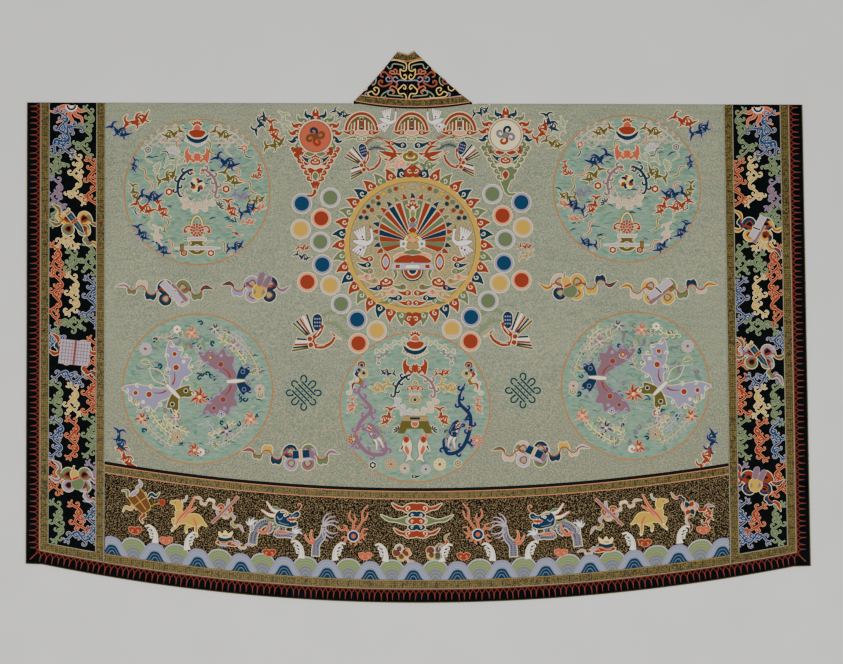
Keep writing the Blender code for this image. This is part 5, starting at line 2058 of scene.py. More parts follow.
# Clouds: place, turn, size, dye and rim
FIELD_CLOUDS = (
    (118, 132, 30, 1.0, "navy", "lavender"), (136, 122, -20, 1.2, "red", "cream"),
    (260, 124, -60, 1.0, "navy", "cream"), (272, 130, 70, 1.0, "red", "cream"),
    (284, 122, 75, 0.9, "sage", "cream"), (274, 145, -20, 1.0, "olive", "cream"),
    (549, 122, 60, 1.0, "navy", "cream"), (541, 132, -60, 1.0, "red", "cream"),
    (560, 128, -70, 0.9, "sage", "cream"), (552, 143, 20, 0.9, "olive", "cream"),
    (699, 130, -30, 1.0, "navy", "lavender"), (682, 120, 20, 1.1, "red", "cream"),
    (120, 440, 80, 1.0, "navy", "lavender"), (126, 458, 60, 1.0, "red", "cream"),
    (712, 440, -80, 1.0, "navy", "lavender"), (706, 458, -60, 1.0, "red", "cream"),
    (340, 114, 20, 0.8, "navy", "cream"), (480, 112, -20, 0.8, "navy", "cream"),
    (303, 248, 0, 0.6, "red", "cream"), (302, 257, 20, 0.7, "navy", "cream"),
    (525, 246, 0, 0.6, "red", "cream"), (526, 255, -20, 0.7, "tan", "cream"),
)


def build_field_motifs():
    """Tied tools, clouds, birds, wheels and knots between the roundels."""
    work = Work()
    for u, v, kind, lean, dyes, left, right in FIELD_EMBLEMS:
        emblem(Pen(work, u, v), kind, lean, dyes, "sage", left, right)
    for u, v, turn, size, dye, rim in FIELD_CLOUDS:
        cloud(Pen(work, u, v, turn, size), dye, rim)
    flaming_disc(Pen(work, 315, 137, 0, 0.98), "rose", "brown", "red", "green")
    flaming_disc(Pen(work, 505, 135, 0, 0.98, -1), "cream", "grey", "green", "red")
    for u in (361, 411, 459):
        arch(Pen(work, u, 131.6, 0, 1.04))
    for u, flip in ((388, 1), (434, -1)):
        crane(Pen(work, u, 121, 20 * flip, 0.8, flip))
    for u, v, turn, size, flip, first, second in (
        (362, 160, -18, 0.82, 1, "red", "navy"), (462, 157, 18, 0.82, -1, "red", "navy"),
        (313, 333, 0, 1.0, 1, "moss", "moss"), (512, 330, 0, 1.0, -1, "moss", "moss"),
    ):
        phoenix(Pen(work, u, v, turn, size, flip), first, second)
    heart = Pen(work, 410, 153)
    for half in heart.both():
        half.draw(
            ((1, 5, 4.6, 0.6), "red", "cream", 1, (8, 0), (15, 2), (22, 1), (32, -2)),
            ((3, 2.6, 0.5), "red", "cream", 1, (15, 0), (20, -6), (29, -7)),
            ((3, 2.6, 0.5), "red", "cream", 1, (16, 3), (22, 7), (30, 4)),
        )
        curl(half, 14, 2, 180, 2.4, "cream", 1.0, None, 1, 1.0, 3.0)
        wisp(half.at(9, -8, -10, 1.1), "navy")
        wisp(half.at(20, -10, -16, 0.8), "red")
    cloud(heart.at(-14, 12, -10, 1.0), "pink")
    cloud(heart.at(14, 12, 10, 1.0), "green")
    ruyi(heart.at(0, 4, 0, 1.3, 1, 3), "gold", "red")
    for u, v in ((304, 393), (523, 390)):
        knot(Pen(work, u, v))
    work.finish("field_motifs")


# The side bands: climbing scrolls and tied tools between the gold ribbons


def band_bend(places):
    """From the pattern of a side band or the hem band to the robe as laid."""
    return laid(places[:, 0], places[:, 1])


PEARL = 5.6                 # radius of the pearl inside its rings


def pearl(pen):
    """A pearl in rings, with branched flames round it."""
    for lean, reach in ((-58, 19), (-8, 27), (24, 36), (62, 17), (-118, 15), (104, 12), (168, 10)):
        flame = pen.at(0, 0, lean)
        flame.stroke([(0, -PEARL), (2, -reach * 0.5), (-1.6, -reach * 0.76), (0.8, -reach)],
            (2.2, 1.5, 1.2, 0.4), "rose", "pink", 0.0, 0.4)
        flame.stroke([(1.6, -reach * 0.5), (4.6, -reach * 0.6), (4, -reach * 0.8)], (1.3, 0.4), "rose",
            "pink", 0.0, 0.4)
    for radius, dye in ((1.1, "white"), (0.96, "navy"), (0.46, "rose")):
        pen.disc(0, 0, PEARL * radius, dye, None, 3 - radius)


def climber(pen, path, dye, pale):
    """A climbing scroll: a hooked stem with a three-toed foot at its end."""
    scroll(pen, path, dye, pale, 1.5, 3.1, 7, 1.0, 0.5, 0.9, 0.7)
    line = curve(path, 1.0)
    for i, turn in ((len(line) - 1, 0), (1, 180)):
        foot = pen.at(*line[i], heading(line, i) + turn)
        for lean in (-62, -8, 46):
            foot.at(0, 0, lean).stroke([(0, 0), (2.6, -0.5), (4.4, 0.8)], (1.2, 0.6), dye, pale, 1.0, 0.5)
    for share, flip in ((0.22, -1), (0.5, 1), (0.78, -1)):
        i = int(share * len(line))
        branch = pen.at(*line[i], heading(line, i) - 90 * flip)
        branch.stroke([(0, 0), (4.6, 0)], 1.3, dye, pale, 1.0, 0.6)
        for lean, side in ((-90, 1), (90, -1)):
            branch.at(4.6, 0, lean, 1.0, side).stroke(spiral(2.7, 0.62, 0.6), (1.2, 0.9, 0.5), dye, pale,
                1.0, 0.5)


# Scrolls of a side band, by dye: start, number of bends, and lean from straight down
SCROLLS = {
    ("azure", "lilac"): ((61, 111, 6, -8), (52, 152, 5, -137), (92, 279, 6, 0), (54, 330, 3, 0),
                         (56, 375, 4, -81), (58, 420, 5, 0), (93, 500, 5, 0), (68, 536, 4, -88)),
    ("green", "sage"): ((89, 110, 6, 6), (57, 156, 3, 0), (57, 206, 3, 0), (90, 244, 4, 0), (73, 252, 3, 0),
                        (56, 327, 4, -98), (58, 384, 5, 0), (91, 418, 5, 0), (58, 503, 5, -4)),
    ("yellow", "cream"): ((77, 156, 6, 0), (57, 243, 3, -92), (74, 276, 5, 0), (74, 386, 4, 0)),
    ("red", "pink"): ((92, 160, 6, 0), (57, 246, 4, 0), (59, 276, 6, 6), (94, 340, 4, 0), (91, 376, 5, 0),
                      (74, 420, 5, 0), (55, 464, 4, 0), (76, 504, 4, -12)),
    ("plum", "lavender"): ((57, 179, 4, 0), (94, 464, 4, 0)),
}
BEND = 9.2                  # steps between two bends of a scroll
BEND_REACH = (3.4, 5.2)     # from a scroll's middle line to a bend, least and most
BAND_SEED = 12
BAND_TOP = (71, 106.5)      # the flaming half disc at the head of the left band
# Tied tools of each side band: place, tool, lean and dyes
BAND_TOOLS = {
    "left": ((76, 224, "blade", -38, ("green", "yellow")), (75, 353, "plaque", 6, ("red", "navy")),
             (77, 480, "gourd", -20, ("lavender", "green"))),
    "right": ((757, 228, "clapper", 30, ("yellow", "navy")), (759, 355, "blade", -38, ("green", "lavender")),
              (757, 481, "slats", 20, ("navy", "red"))),
}


def build_band_motifs():
    """Scrolls and tied tools on both side bands, under a flaming half disc."""
    for label, side in SIDES:
        work = Work()
        u, v = BAND_TOP
        top = Pen(work, ORIGIN_X + side * (ORIGIN_X - u), v, 0, 1, -side, 0, band_bend)
        for lean in (110, 145, 180, 215, 250):
            top.at(0, 0, lean).stroke([(0, -3), (2, -10), (-1, -16), (2, -22)], (3, 2.4, 0.5), "rose",
                "pink", 0.0)
        for radius, dye in ((6.2, "white"), (5.0, "navy"), (2.9, "cream")):
            top.half_disc(radius, dye, 3 - radius / 3, -1.0)
        draws = random.Random(BAND_SEED)
        for (dye, pale), rows in SCROLLS.items():
            for u, v, bends, lean in rows:
                path = [(draws.uniform(*BEND_REACH) * (-1, 1)[k % 2], k * BEND) for k in range(bends)]
                u = ORIGIN_X + side * (ORIGIN_X - u)
                climber(Pen(work, u, v, -side * lean, 1, -side, 0, band_bend), path, dye, pale)
        for u, v, kind, lean, (dye, other) in BAND_TOOLS[label]:
            if side > 0:
                down = (v - ORIGIN_Y) * UNIT / (HEM_CENTRE - HEM_RISE)
                u = ORIGIN_X + (u - ORIGIN_X) / (1 + FLARE * down)
            pen = Pen(work, u, v, 0, 0.92, 1, 3.0, band_bend)
            sash(pen.at(5, 5, 52), (other, dye), 5.0, 11.0)
            sash(pen.at(-5, 5, 52, 1, -1), (dye, other), 5.0, 11.0)
            emblem(pen, kind, lean, (dye, other, dye), "ink")
        work.finish(f"band_motifs_{label}")


# The hem band: a sea of standing waves, with beasts, clouds and tied tools above it


SEA_FRONT = ("lavender", "haze", "lilac", "haze", "lilac", "haze", "sky", "navy", "sky", "navy", "sky",
             "navy")
SEA_BACK = ("lilac", "moss", "sage", "moss", "sage", "moss", "tan", "sky", "tan", "sky", "tan", "sky")
SEA_SHARES = (1.0, 0.93, 0.82, 0.79, 0.69, 0.66, 0.56, 0.52, 0.40, 0.36, 0.23, 0.18)
SEA_PITCH = 43.0            # steps from one wave to the next
SEA_COUNT = 15              # waves to each side of the middle one
SEA_FOOT = 0.0008           # from the lower ribbon to the waves' foot
SEA_CLEAR = 0.002           # from the side ribbons


def wave(pen, half, high, dyes):
    """One standing wave: nested outlines over the same foot."""
    side = ((1.0, 0.0), (0.86, 0.12), (0.68, 0.42), (0.44, 0.82), (0.22, 0.97))
    line = [(-half * x, -high * y) for x, y in side] + [(0, -high)]
    line = curve(line + [(-x, y) for x, y in line[-2::-1]], 2.2)
    for n, (dye, share) in enumerate(zip(dyes, SEA_SHARES)):
        pen.fill([(x * share, min(0.0, y * share)) for x, y in line], dye, None, n * 0.7, 0, True)


def build_waves():
    """Standing waves over the foot of the hem band, blue before green."""
    work = Work()
    foot = ORIGIN_Y - (RIBBON + SEA_FOOT) / UNIT

    def clipped(places):
        x = np.clip(places[:, 0], -INNER_RIBBON_X + SEA_CLEAR, INNER_RIBBON_X - SEA_CLEAR)
        return laid(x, hem_edge(x) + places[:, 1])

    for n in range(-SEA_COUNT, SEA_COUNT + 1):
        front = n % 2 == 0
        pen = Pen(work, ORIGIN_X + n * SEA_PITCH / 2, foot, 0, 1, 1, 6 if front else 0, clipped)
        if front:
            wave(pen, 18.4, 18.0, SEA_FRONT)
        else:
            wave(pen, 21.6, 20.0, SEA_BACK)
    work.finish("hem_waves")


def spindrift(pen):
    """Spindrift: a white stem that breaks into curled fingers."""
    pen.stroke([(2, 2), (2.6, -5), (0.6, -11), (-4, -15), (-8, -14)], (6, 4, 2.8, 1.8, 1.0), "white",
        "cream", 1.0, 0.3)
    for x, y, reach in ((1, -11, 4.4), (2, -7.6, 4.0), (2.4, -4.4, 3.4)):
        curl(pen, x, y, 196, 1.8, "white", 1.2, None, 1, reach)
    pen.stroke([(3.4, 0), (3.4, -5), (1, -11)], 0.5, "blush", None, 3.0)


def jewel(pen, dye="red"):
    """A small cloud-shaped jewel in the water."""
    for half in pen.both():
        half.fill([(0, -2), (2.6, -3.6), (6.4, -2.6), (5.4, 1), (2, 3), (0, 3.2)], dye, "pink", 1.0, 0.5)
        half.at(2.4, 1.4).stroke(spiral(1.4, 0.8), 0.6, "pink", None, 2.6)


def deer(pen):
    """A leaping deer with streaks of flame at its shoulder."""
    limb = (4.2, 2.4, 1.5)
    for path in (((-12, 1), (-17, 0), (-15, 6)), ((-11, 2), (-14, 7), (-18, 11)),
            ((2, 5), (-3, 8), (-3, 13)), ((10, 4), (7, 10), (8, 17))):
        pen.draw((limb, "yellow", "straw", 0, *path))
        pen.disc(path[-1][0], path[-1][1] + 0.6, 1.1, "white", None, 1.2)
    pen.draw(
        (SMOOTH, "yellow", "straw", 1, (-14, -9), (-8, -10), (-5, -4), (4, -6), (11, -4), (15.6, 3),
         (18.4, 7), (12, 5), (8, 7), (2, 6), (-4, 4), (-12, 4), (-14, -2)),
        (SMOOTH, "yellow", "straw", 2, (-20, -17.6), (-15, -20), (-9, -19), (-7, -14), (-10, -10),
         (-14, -11), (-14.6, -15)),
        ((1.5, 0.8), "lavender", "cream", 2, (-8, -19), (-4, -20.4), (-2.6, -24.6)),
        ((1.2, 0.5), "red", None, 3, (-9, -19), (-10.6, -23)),
        ((1.0, 2.4, 1.8, 0.5), "rose", "pink", 3, (-14, 5), (-9, -3), (-1, -11), (6, -24)),
        ((1.0, 1.8, 0.5), "rose", "pink", 3, (-6, -2), (0, -8), (7, -12.6)),
        ((1.0, 1.4, 0.5), "rose", None, 3, (4, -2), (7, 5), (7.6, 13)),
    )
    pen.disc(-14.6, -17.6, 0.6, "ink", None, 4.0)


def knotted(pen, dyes, liner):
    """Four loops of a tied ribbon."""
    for turn, dye in zip((-140, -20, 70, 160), dyes):
        loop(pen, turn, dye, liner, "brown", 0.72)


def rods(pen):
    """Two crossed rods in a knotted sash."""
    knotted(pen, ("red", "red", "yellow", "lavender"), "pink")
    sash(pen.at(-4, -5, 198, 0.8, 1), ("blush", "cream", "blush"), 5.0, 11.0, "pink")
    sash(pen.at(4, 5, 46, 0.8, 1), ("lavender", "moss"), 5.0, 11.0, "pink")
    pen.draw((2.4, "plum", "pink", 5, (-14, 14), (16, -16)), (1.8, "lavender", "cream", 4, (1, 8), (5, -13)))


def crown(pen):
    """A small crown on a cloud, with fluttering ends."""
    sash(pen.at(-6, 2, 186, 0.7, -1), ("lavender", "green"), 5.0, 12.0, "pink")
    sash(pen.at(7, 5, 4, 0.7), ("lavender", "blush"), 5.0, 12.0, "pink")
    pen.draw(
        (SMOOTH, "red", "cream", 1, (-10, 2), (0, 0), (8, 1), (12, 7), (2, 6), (-8, 5)),
        (SMOOTH, "navy", "yellow", 2, (-8, -3), (0, -1.4), (8, -3), (6, 1.6), (-6, 1.6)),
        (SMOOTH, "straw", "cream", 3, (-7, -9), (-3, -6), (0, -10), (3, -6), (8, -9), (6, -4), (0, -2.6),
         (-6, -4)),
        ((1.6, 0.8), "red", "cream", 5, (-3, -4.4), (3, -4.4)),
    )


def scales(pen, path, widths):
    """A scaled body along a path."""
    pen.stroke(path, widths, "grey", "cream", 0.0)
    line = curve(path, 2.3)
    for n, ((x, y), aside) in enumerate(zip(line[1:-1], sideways(line)[1:-1])):
        reach = np.interp(n / len(line), np.linspace(0, 1, len(widths)), widths) * 0.22
        for shift in (-reach, reach):
            pen.disc(x + aside[0] * shift, y + aside[1] * shift, 0.8, "navy", "lavender", 1.2, 0.35)


def sea_dragon(pen):
    """A dragon that rises from the water: navy head, pale mane and scaled coils."""
    scales(pen, [(-31, 27), (-30, 16), (-24, 6), (-17, 3), (-13, 9), (-17, 13)], (8.4, 8, 7, 5))
    scales(pen, [(-10, 4), (-4, 2), (0, 9), (-6, 14), (4, 14), (12, 15)], (5, 6, 7, 5))
    for x, y, turn in ((-33, 6, -60), (14, 12, -20)):
        foot = pen.at(x, y, turn)
        foot.draw(((3.4, 2.8), "lavender", "cream", 1, (-6, 4), (0, 0)))
        for lean in (-100, -60, -20, 20):
            foot.at(0, 0, lean).draw(((2.2, 1.8, 0.5), "white", "grey", 2, (0, 0), (3.4, -1.4), (7, 0.4)))
    pen.draw(
        ((2, 2.6, 0.5), "rose", "pink", 3, (-26, 12), (-20, 14), (-16, 10), (-14, 2)),
        ((2, 2.2, 0.5), "rose", "pink", 3, (-6, 12), (0, 12), (6, 12)),
    )
    beast_head(pen, "navy", "cream")


def dragon_tail(pen):
    """The dragon's tail, rising from the water with its fins spread."""
    scales(pen, [(-4, 24), (-3, 12), (3, 4), (5, -8)], (8, 7, 5.4, 3.4))
    for turn in (-150, -124, -98, -72, -46, -20, 6):
        side = 1 if turn > -80 else -1
        pen.at(5, -7, turn, 1.2, side).stroke([(0, 0), (5, -2.4), (10, -1.4), (13, 1.4)], (1.5, 1.1, 0.4),
            "lilac", "plum", 1.0, 0.25)
    for path in (((-4, 10), (-9, 4), (-8, -3)), ((-4, 12), (-12, 8), (-15, 2))):
        pen.draw(((2.6, 1.8, 0.4), "rose", "pink", 0, *path))


def great_cloud(pen):
    """The cloud in the middle of the hem: tiers of wisps with long tails, heads to the middle."""
    for y, dye, reach, high in ((-12, "red", 25, 4.4), (0, "green", 36, 4.6), (13, "red", 23, 4.4)):
        for half in pen.both(0, y):
            half.fill([(0, -high), (8, -high), (reach * 0.54, -1), (reach * 0.76, -2.4),
                       (reach, -high * 1.2), (reach * 0.8, 0.6), (reach * 0.56, 1.8), (9, high),
                       (0, high * 0.7)], dye, "cream")
            half.at(8, 3).stroke(spiral(3.0, 1.0), 0.9, "cream", None, 3.0)
    for y, dye, over in ((-5, "navy", 2.0), (7, "navy", 2.0), (1, "red", 4.0)):
        for half in pen.both():
            half.fill([(0, y - 3.4), (5, y - 3.6), (8.6, y), (5, y + 3.2), (0, y + 2)], dye, "cream", over)
            half.at(4, y + 1.4).stroke(spiral(1.7, 0.9), 0.7, "cream", None, 6.0)


def drum(pen):
    """A barrel drum in short fluttering ribbons, with a tassel on a cord."""
    for x, y, turn, dye, flip in ((-3, -10, -110, "green", 1), (6, -9, -50, "lavender", 1),
            (9, -3, -10, "red", -1), (10, 2, 20, "navy", 1), (-8, 3, 160, "navy", -1),
            (-5, 10, 130, "red", 1), (2, 12, 80, "lavender", -1), (-9, -2, 190, "yellow", 1)):
        pen.at(x, y, turn, 1.0, flip).draw(
            ((2, 3.6, 2.6, 0.6), dye, "cream", 0, (-1, 0), (4, -3), (8, 1), (13, -2)),
        )
    pen.draw(((0.8, 0.8), "yellow", None, 0, (4, 10), (18, 14)))
    pen.disc(19, 15, 3.2, "red", "rose")
    pen.at(0, 0, 0, 1.05, 1, 2).draw(*TOOLS["drum"])


def wheel(pen):
    """A wheel of petals in folded ribbons."""
    for turn, dye, other in ((-160, "pink", "navy"), (-25, "lavender", "red"), (70, "navy", "blush")):
        sash(pen.at(0, 0, turn, 0.8), (dye, other), 5.0, 12.0)
    pinwheel(pen.at(0, 0, 0, 1, 1, 3), ("red", "pink", "navy", "red", "pink", "navy"), 9)


# Motifs of the hem: what, its place on the left, its place on the right, turn and size
HEM_MOTIFS = (
    (deer, (190, 520), (644, 517), 0, 0.96), (rods, (225, 511), (606, 512), 0, 0.86),
    (crown, (226, 540), (602, 545), 0, 0.9), (sea_dragon, (284, 521), (544, 522), 4, 0.94),
    (dragon_tail, (320, 533), (508, 533), 0, 0.95), (pearl, (354, 536), (477, 534), 0, 0.95),
)
# Spindrift: place and flip
SPINDRIFT = ((154, 541, 1), (190, 548, -1), (300, 556, 1), (338, 558, -1), (384, 559, 1),
             (444, 559, -1), (489, 558, 1), (528, 556, -1), (626, 547, 1), (676, 540, -1))
JEWELS = ((136, 531), (167, 541), (270, 553), (366, 556), (463, 556), (558, 552), (640, 542), (697, 529))


def build_hem_motifs():
    """Beasts, clouds and tied tools on the hem band."""
    work = Work()

    def pen(u, v, turn=0, size=1.0, flip=1):
        return Pen(work, u, v, turn, size, flip, 1.0, band_bend)

    great_cloud(pen(417, 520))
    for u, turn, dyes in ((402, 20, ("blush", "red", "yellow", "red")),
            (435, -20, ("red", "lavender", "green", "yellow"))):
        knotted(pen(u, 552, turn, 0.9), dyes, "navy")
        sash(pen(u + 4, 550, 3 * turn, 0.6), (dyes[2], dyes[0]), 5.0, 11.0, "pink")
    drum(pen(141, 502, -36, 0.9))
    wheel(pen(684, 507, 20, 0.86))
    cloud(pen(702, 516, -80, 0.8), "red")
    for motif, left, right, turn, size in HEM_MOTIFS:
        motif(pen(*left, turn, size))
        motif(pen(*right, -turn, size, -1))
    for u, v, flip in SPINDRIFT:
        spindrift(pen(u, v, 0, 1.0, flip))
    for n, (u, v) in enumerate(JEWELS):
        jewel(pen(u, v), ("red", "rose")[n % 2])
    work.finish("hem_motifs")


# Half of the neckband's scrolls, from its seam: dye, edge, width and path
NECK_SCROLLS = (
    ("straw", "orange", 1.1, ((15, -41), (10.8, -41.5), (3.8, -39.8), (0.9, -38), (1.1, -32.6), (3.8, -31.8),
                              (6.2, -33.5), (6, -28.5), (4.6, -25.6), (2, -24.4), (0.7, -26.5), (1.9, -28.8),
                              (3.2, -27.6))),
    ("sage", "grey", 1.1, ((3.1, -33.5), (3.7, -36.6), (12.3, -38), (13.8, -34.8), (16.2, -33.8),
                           (17.7, -36))),
    ("lavender", "grey", 1.3, ((0, -23.2), (7, -23.6), (10, -22), (13, -24.5), (10.6, -26.8), (8.4, -25))),
    ("lavender", "grey", 1.1, ((14, -23), (17.4, -22.4), (18.8, -25), (16.6, -26.8), (15.4, -24.8))),
    ("rose", "pink", 1.1, ((6.6, -28.6), (9.6, -29.8), (9, -32), (10.8, -33.4), (12.4, -31.8),
                           (11.2, -30.6))),
    ("rose", "pink", 1.1, ((10, -29.4), (13, -29.2), (15.6, -30.4), (14.4, -32.2), (13.2, -31.4))),
    ("rose", "pink", 1.1, ((7.8, -14.4), (10, -17.6), (8.8, -20), (10, -22.4))),
    ("rose", "pink", 1.1, ((10, -17), (13.6, -18.6), (15.4, -16), (12.6, -15.2), (11.2, -13), (13, -11.6))),
    ("red", "pink", 1.3, ((21.2, -26.5), (23.5, -27.3), (23.1, -30), (20, -30.8), (16.9, -28.4),
                          (13.6, -26.2), (13.8, -21.5), (17.7, -19.2), (21.5, -18.1), (25, -20),
                          (24.6, -23.1), (22.3, -23.1), (22.3, -21.2))),
    ("straw", "orange", 1.1, ((3.5, -16.9), (1.9, -15.6), (1.2, -17.7), (3.1, -19.6), (6.2, -16.9),
                              (8.1, -14.6), (6.9, -11.7), (3.1, -11.9), (1.5, -10.6), (1.5, -6.4),
                              (10.8, -7), (30, -8.6),
                              (33.8, -10), (35, -11.9), (31.5, -13.8), (29.2, -11.4), (26.9, -10.8),
                              (25, -13.8), (25.4, -16.2), (28.1, -17.3), (29.6, -15.8), (28.1, -14.2))),
    ("sage", "grey", 1.1, ((4.2, -8.6), (4.8, -9.6), (16.2, -10.6), (16.9, -13.1), (14.6, -14.8),
                           (12.5, -13.6))),
    ("sage", "grey", 1.1, ((16.4, -14.6), (21, -11.9), (23, -9), (20, -8.4), (19.2, -9.8))),
    ("lavender", "grey", 1.1, ((36, -9.4), (37.4, -11.4), (35.4, -12.8), (34.2, -11))),
    ("lavender", "grey", 1.2, ((34, -8.2), (42, -9.2), (48, -10.2))),
    ("sage", "grey", 1.2, ((31, -19), (28.4, -20.8), (27.6, -25), (29.4, -27.2), (32.4, -25.6))),
    ("red", "pink", 1.1, ((35, -21), (31.8, -20.6), (30.4, -23.4), (31.6, -25), (34, -23))),
    ("straw", "red", 1.1, ((35.4, -18.4), (36, -15.4), (39, -14.4), (41.6, -16.4), (46, -12))),
    ("straw", "orange", 1.1, ((20.6, -34), (23, -32), (25.6, -30.4))),
)


NECK_ORIGIN = (407, 107)    # foot of the neckband's seam, in the motifs' steps
NECK_SCALE = 1.13
NECK_SHIFT = 0.4
LINE_SHARE = 0.68           # of a scroll's width, for its line
LINE_RIM = 0.16
LINE_RISE = 0.15            # how much each scroll lies above the one before
FOLD_CLEAR = 0.0015


def build_neck_motifs():
    """Scrolling lines on the standing neckband, mirrored about its seam and cut by its folds."""
    for label, fold in NECK_FOLDS.items():
        work = Work()
        side = fold["side"]
        low, high = standing(fold, 1, 0), standing(fold, 1, 1)

        def cut_by_fold(places):
            share = (places[:, 1] - low[1]) / (high[1] - low[1])
            edge = side * mix(low[0], high[0], share) - FOLD_CLEAR
            return np.stack([side * np.minimum(side * places[:, 0], edge), places[:, 1]], -1)

        pen = Pen(work, *NECK_ORIGIN, 0, NECK_SCALE, side, 1.0, cut_by_fold)
        for n, (dye, rim, width, path) in enumerate(NECK_SCROLLS):
            moved = [(x + NECK_SHIFT, y) for x, y in path]
            pen.stroke(moved, width * LINE_SHARE, dye, rim, LINE_RISE * n, LINE_RIM)
        work.finish(f"neck_motifs_{label}")


# The cut of each cloth piece, worked out from the pattern


FOLD_LENGTH = math.pi * FOLD_RADIUS + TURN_IN    # cloth that runs round the shoulder fold
CUT_STEPS = 200


def cut(first, last, top, bottom, more=0.0):
    """Width, greatest length and area of a panel between two edges of the pattern."""
    x = np.linspace(first, last, CUT_STEPS)
    span = top(x) - bottom(x) + more
    width, longest = abs(last - first), float(span.max())
    return (width, longest), width * float(span.mean())


def declare_sheets():
    """Works out the flat size of each cloth piece and lists the pieces that lie on it or are sewn to it."""
    outer = HALF_WIDTH + FLANGE
    field = cut(-SEAM_X, SEAM_X, crest_line, hem_seam, FOLD_LENGTH)
    motifs = ["medallion_ground", "medallion", "star_discs", "roundel_grounds", "field_motifs"]
    motifs += [f"roundel_{n + 1}" for n in range(len(ROUNDELS))]
    hem = cut(-SEAM_X, SEAM_X, hem_seam, hem_edge)
    sewn = ["ribbon_hem_upper", "ribbon_hem_lower", "hem_motifs", "hem_waves"]
    flange = cut(-outer, outer, hem_edge, lambda x: hem_edge(x) - FLANGE)
    for label, side in SIDES:
        band = cut(SEAM_X, HALF_WIDTH, crest_line, hem_edge, FOLD_LENGTH)
        sewn = [f"{kind}_{label}" for kind in ("ribbon_outer", "ribbon_inner", "ribbon_foot", "band_motifs",
            "edge_cords")]
        flange = cut(HALF_WIDTH, outer, crest_line, side_flange_foot, FOLD_LENGTH)
        start_x = abs(NECK_FOLDS[label]["tip_x"]) + SEAM
        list(cut(start_x, SEAM_X, front_line, hem_seam))
        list(cut(start_x, SEAM_X, hem_seam, hem_edge))
        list(cut(SEAM_X, HALF_WIDTH, front_line, hem_edge))
        far = outer - FRONT_INSET
        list(cut(HALF_WIDTH, far, front_line, side_flange_foot))
        under = cut(start_x, far, hem_edge, lambda x: hem_edge(x) - FLANGE + FRONT_INSET)
        sewn = [f"neck_ribbon_lower_{label}", f"neck_ribbon_upper_{label}", f"neck_motifs_{label}"]
        if side > 0:
            sewn.append("edge_cords_neck")


# Operators: one for each piece or group of like pieces


class VESTMENT_OT_back_field(bpy.types.Operator):
    """Celadon back with its shallow neckline, from the shoulder fold to the hem seam"""
    bl_idname = "vestment.back_field"
    bl_label = "Back field"

    def execute(self, context):
        build_back_field()
        return {"FINISHED"}


class VESTMENT_OT_side_bands(bpy.types.Operator):
    """Black bands down both sides of the back"""
    bl_idname = "vestment.side_bands"
    bl_label = "Side bands"

    def execute(self, context):
        build_back_bands()
        return {"FINISHED"}


class VESTMENT_OT_hem_band(bpy.types.Operator):
    """Dark brown band along the hem of the back"""
    bl_idname = "vestment.hem_band"
    bl_label = "Hem band"

    def execute(self, context):
        build_hem_band()
        return {"FINISHED"}


class VESTMENT_OT_gold_ribbons(bpy.types.Operator):
    """Woven gilt ribbons round the side bands and along the hem"""
    bl_idname = "vestment.gold_ribbons"
    bl_label = "Gold ribbons"

    def execute(self, context):
        build_ribbons()
        return {"FINISHED"}


class VESTMENT_OT_flanges(bpy.types.Operator):
    """Navy border outside the ribbons"""
    bl_idname = "vestment.flanges"
    bl_label = "Flanges"

    def execute(self, context):
        build_flanges()
        return {"FINISHED"}


class VESTMENT_OT_edge_cords(bpy.types.Operator):
    """Fine cords along the edges of the ribbons and the flange, the dark ones partly painted shadow"""
    bl_idname = "vestment.edge_cords"
    bl_label = "Edge cords"

    def execute(self, context):
        build_edge_cords()
        return {"FINISHED"}


class VESTMENT_OT_fringes(bpy.types.Operator):
    """Knotted red silk fringe over the flange"""
    bl_idname = "vestment.fringes"
    bl_label = "Fringes"

    def execute(self, context):
        build_fringes()
        return {"FINISHED"}


class VESTMENT_OT_neckband(bpy.types.Operator):
    """Both halves of the neckband, with their gold ribbons"""
    bl_idname = "vestment.neckband"
    bl_label = "Neckband"

    def execute(self, context):
        build_neckbands()
        build_neck_ribbons()
        return {"FINISHED"}


class VESTMENT_OT_fronts(bpy.types.Operator):
    """Both fronts, which lie under the back"""
    bl_idname = "vestment.fronts"
    bl_label = "Fronts"

    def execute(self, context):
        build_fronts()
        return {"FINISHED"}


class VESTMENT_OT_band_motifs(bpy.types.Operator):
    """Climbing scrolls and tied tools on the side bands"""
    bl_idname = "vestment.band_motifs"
    bl_label = "Side band motifs"

    def execute(self, context):
        build_band_motifs()
        return {"FINISHED"}


class VESTMENT_OT_hem_motifs(bpy.types.Operator):
    """Waves, beasts, clouds and jewels on the hem band"""
    bl_idname = "vestment.hem_motifs"
    bl_label = "Hem motifs"

    def execute(self, context):
        build_waves()
        build_hem_motifs()
        return {"FINISHED"}


class VESTMENT_OT_medallion(bpy.types.Operator):
    """The great medallion in its ring of flames, and the stars round it"""
    bl_idname = "vestment.medallion"
    bl_label = "Medallion"

    def execute(self, context):
        build_medallion()
        return {"FINISHED"}


class VESTMENT_OT_roundels(bpy.types.Operator):
    """Five roundels of clouds, butterflies, dragons and blossoms"""
    bl_idname = "vestment.roundels"
    bl_label = "Roundels"

    def execute(self, context):
        build_roundels()
        return {"FINISHED"}


class VESTMENT_OT_field_motifs(bpy.types.Operator):
    """Tied tools, birds, clouds, wheels and knots between the roundels"""
    bl_idname = "vestment.field_motifs"
    bl_label = "Field motifs"

    def execute(self, context):
        build_field_motifs()
        return {"FINISHED"}


class VESTMENT_OT_neck_motifs(bpy.types.Operator):
    """Angular scrolls on the standing neckband"""
    bl_idname = "vestment.neck_motifs"
    bl_label = "Neckband motifs"

    def execute(self, context):
        build_neck_motifs()
        return {"FINISHED"}


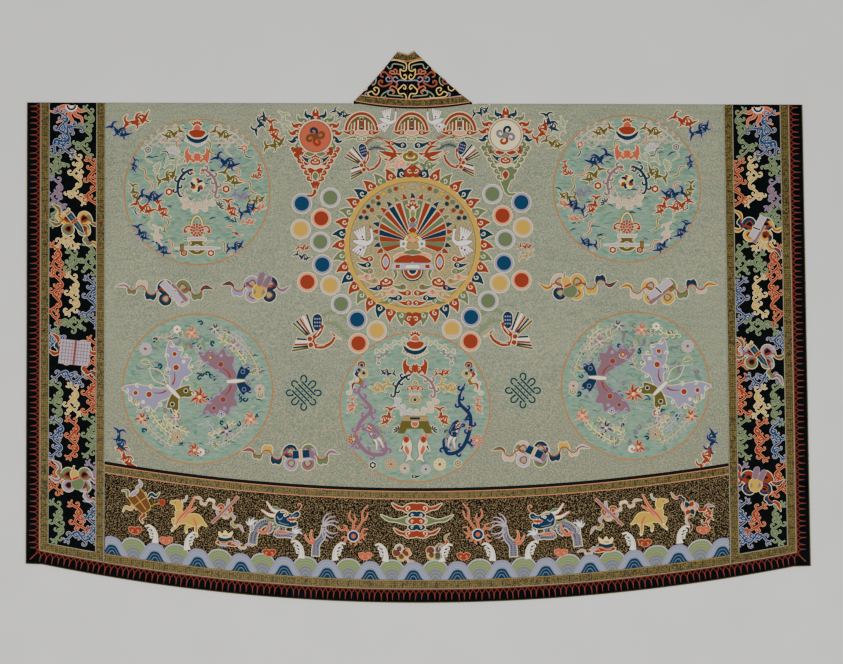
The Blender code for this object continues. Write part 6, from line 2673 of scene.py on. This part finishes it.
class VESTMENT_OT_cut(bpy.types.Operator):
    """Works out the flat size of each cloth piece"""
    bl_idname = "vestment.cut"
    bl_label = "Cut of the cloth"

    def execute(self, context):
        declare_sheets()
        return {"FINISHED"}


class VESTMENT_OT_stage(bpy.types.Operator):
    """Pale floor, soft studio light and the camera straight above"""
    bl_idname = "vestment.stage"
    bl_label = "Stage"

    def execute(self, context):
        build_stage()
        return {"FINISHED"}


OPERATORS = (
    VESTMENT_OT_back_field, VESTMENT_OT_side_bands, VESTMENT_OT_hem_band,
    VESTMENT_OT_gold_ribbons, VESTMENT_OT_flanges, VESTMENT_OT_edge_cords, VESTMENT_OT_fringes,
    VESTMENT_OT_neckband, VESTMENT_OT_fronts, VESTMENT_OT_band_motifs, VESTMENT_OT_hem_motifs,
    VESTMENT_OT_medallion, VESTMENT_OT_roundels, VESTMENT_OT_field_motifs,
    VESTMENT_OT_neck_motifs, VESTMENT_OT_cut, VESTMENT_OT_stage,
)


class VESTMENT_PT_panel(bpy.types.Panel):
    """Sizes, colours and pieces of the vestment"""
    bl_label = "Taoist Vestment"
    bl_idname = "VESTMENT_PT_panel"
    bl_space_type = "VIEW_3D"
    bl_region_type = "UI"
    bl_category = "Vestment"

    def draw(self, context):
        column = self.layout.column(align=True)
        for group in (sizes(), colours()):
            for field in group.__annotations__:
                column.prop(group, field)
        for made in OPERATORS:
            column.operator(made.bl_idname)


CLASSES = (VestmentSizes, VestmentColours, *OPERATORS, VESTMENT_PT_panel)


def register():
    """Adds the sizes, the operators and the panel to Blender."""
    for made in CLASSES:
        bpy.utils.register_class(made)
    bpy.types.Scene.vestment_sizes = bpy.props.PointerProperty(type=VestmentSizes)
    bpy.types.Scene.vestment_colours = bpy.props.PointerProperty(type=VestmentColours)


def unregister():
    """Takes them out again."""
    del bpy.types.Scene.vestment_colours
    del bpy.types.Scene.vestment_sizes
    for made in reversed(CLASSES):
        bpy.utils.unregister_class(made)


def main():
    """Builds every piece and the stage."""
    register()
    for made in OPERATORS:
        group, name = made.bl_idname.split(".")
        getattr(getattr(bpy.ops, group), name)()


if __name__ == "__main__":
    main()
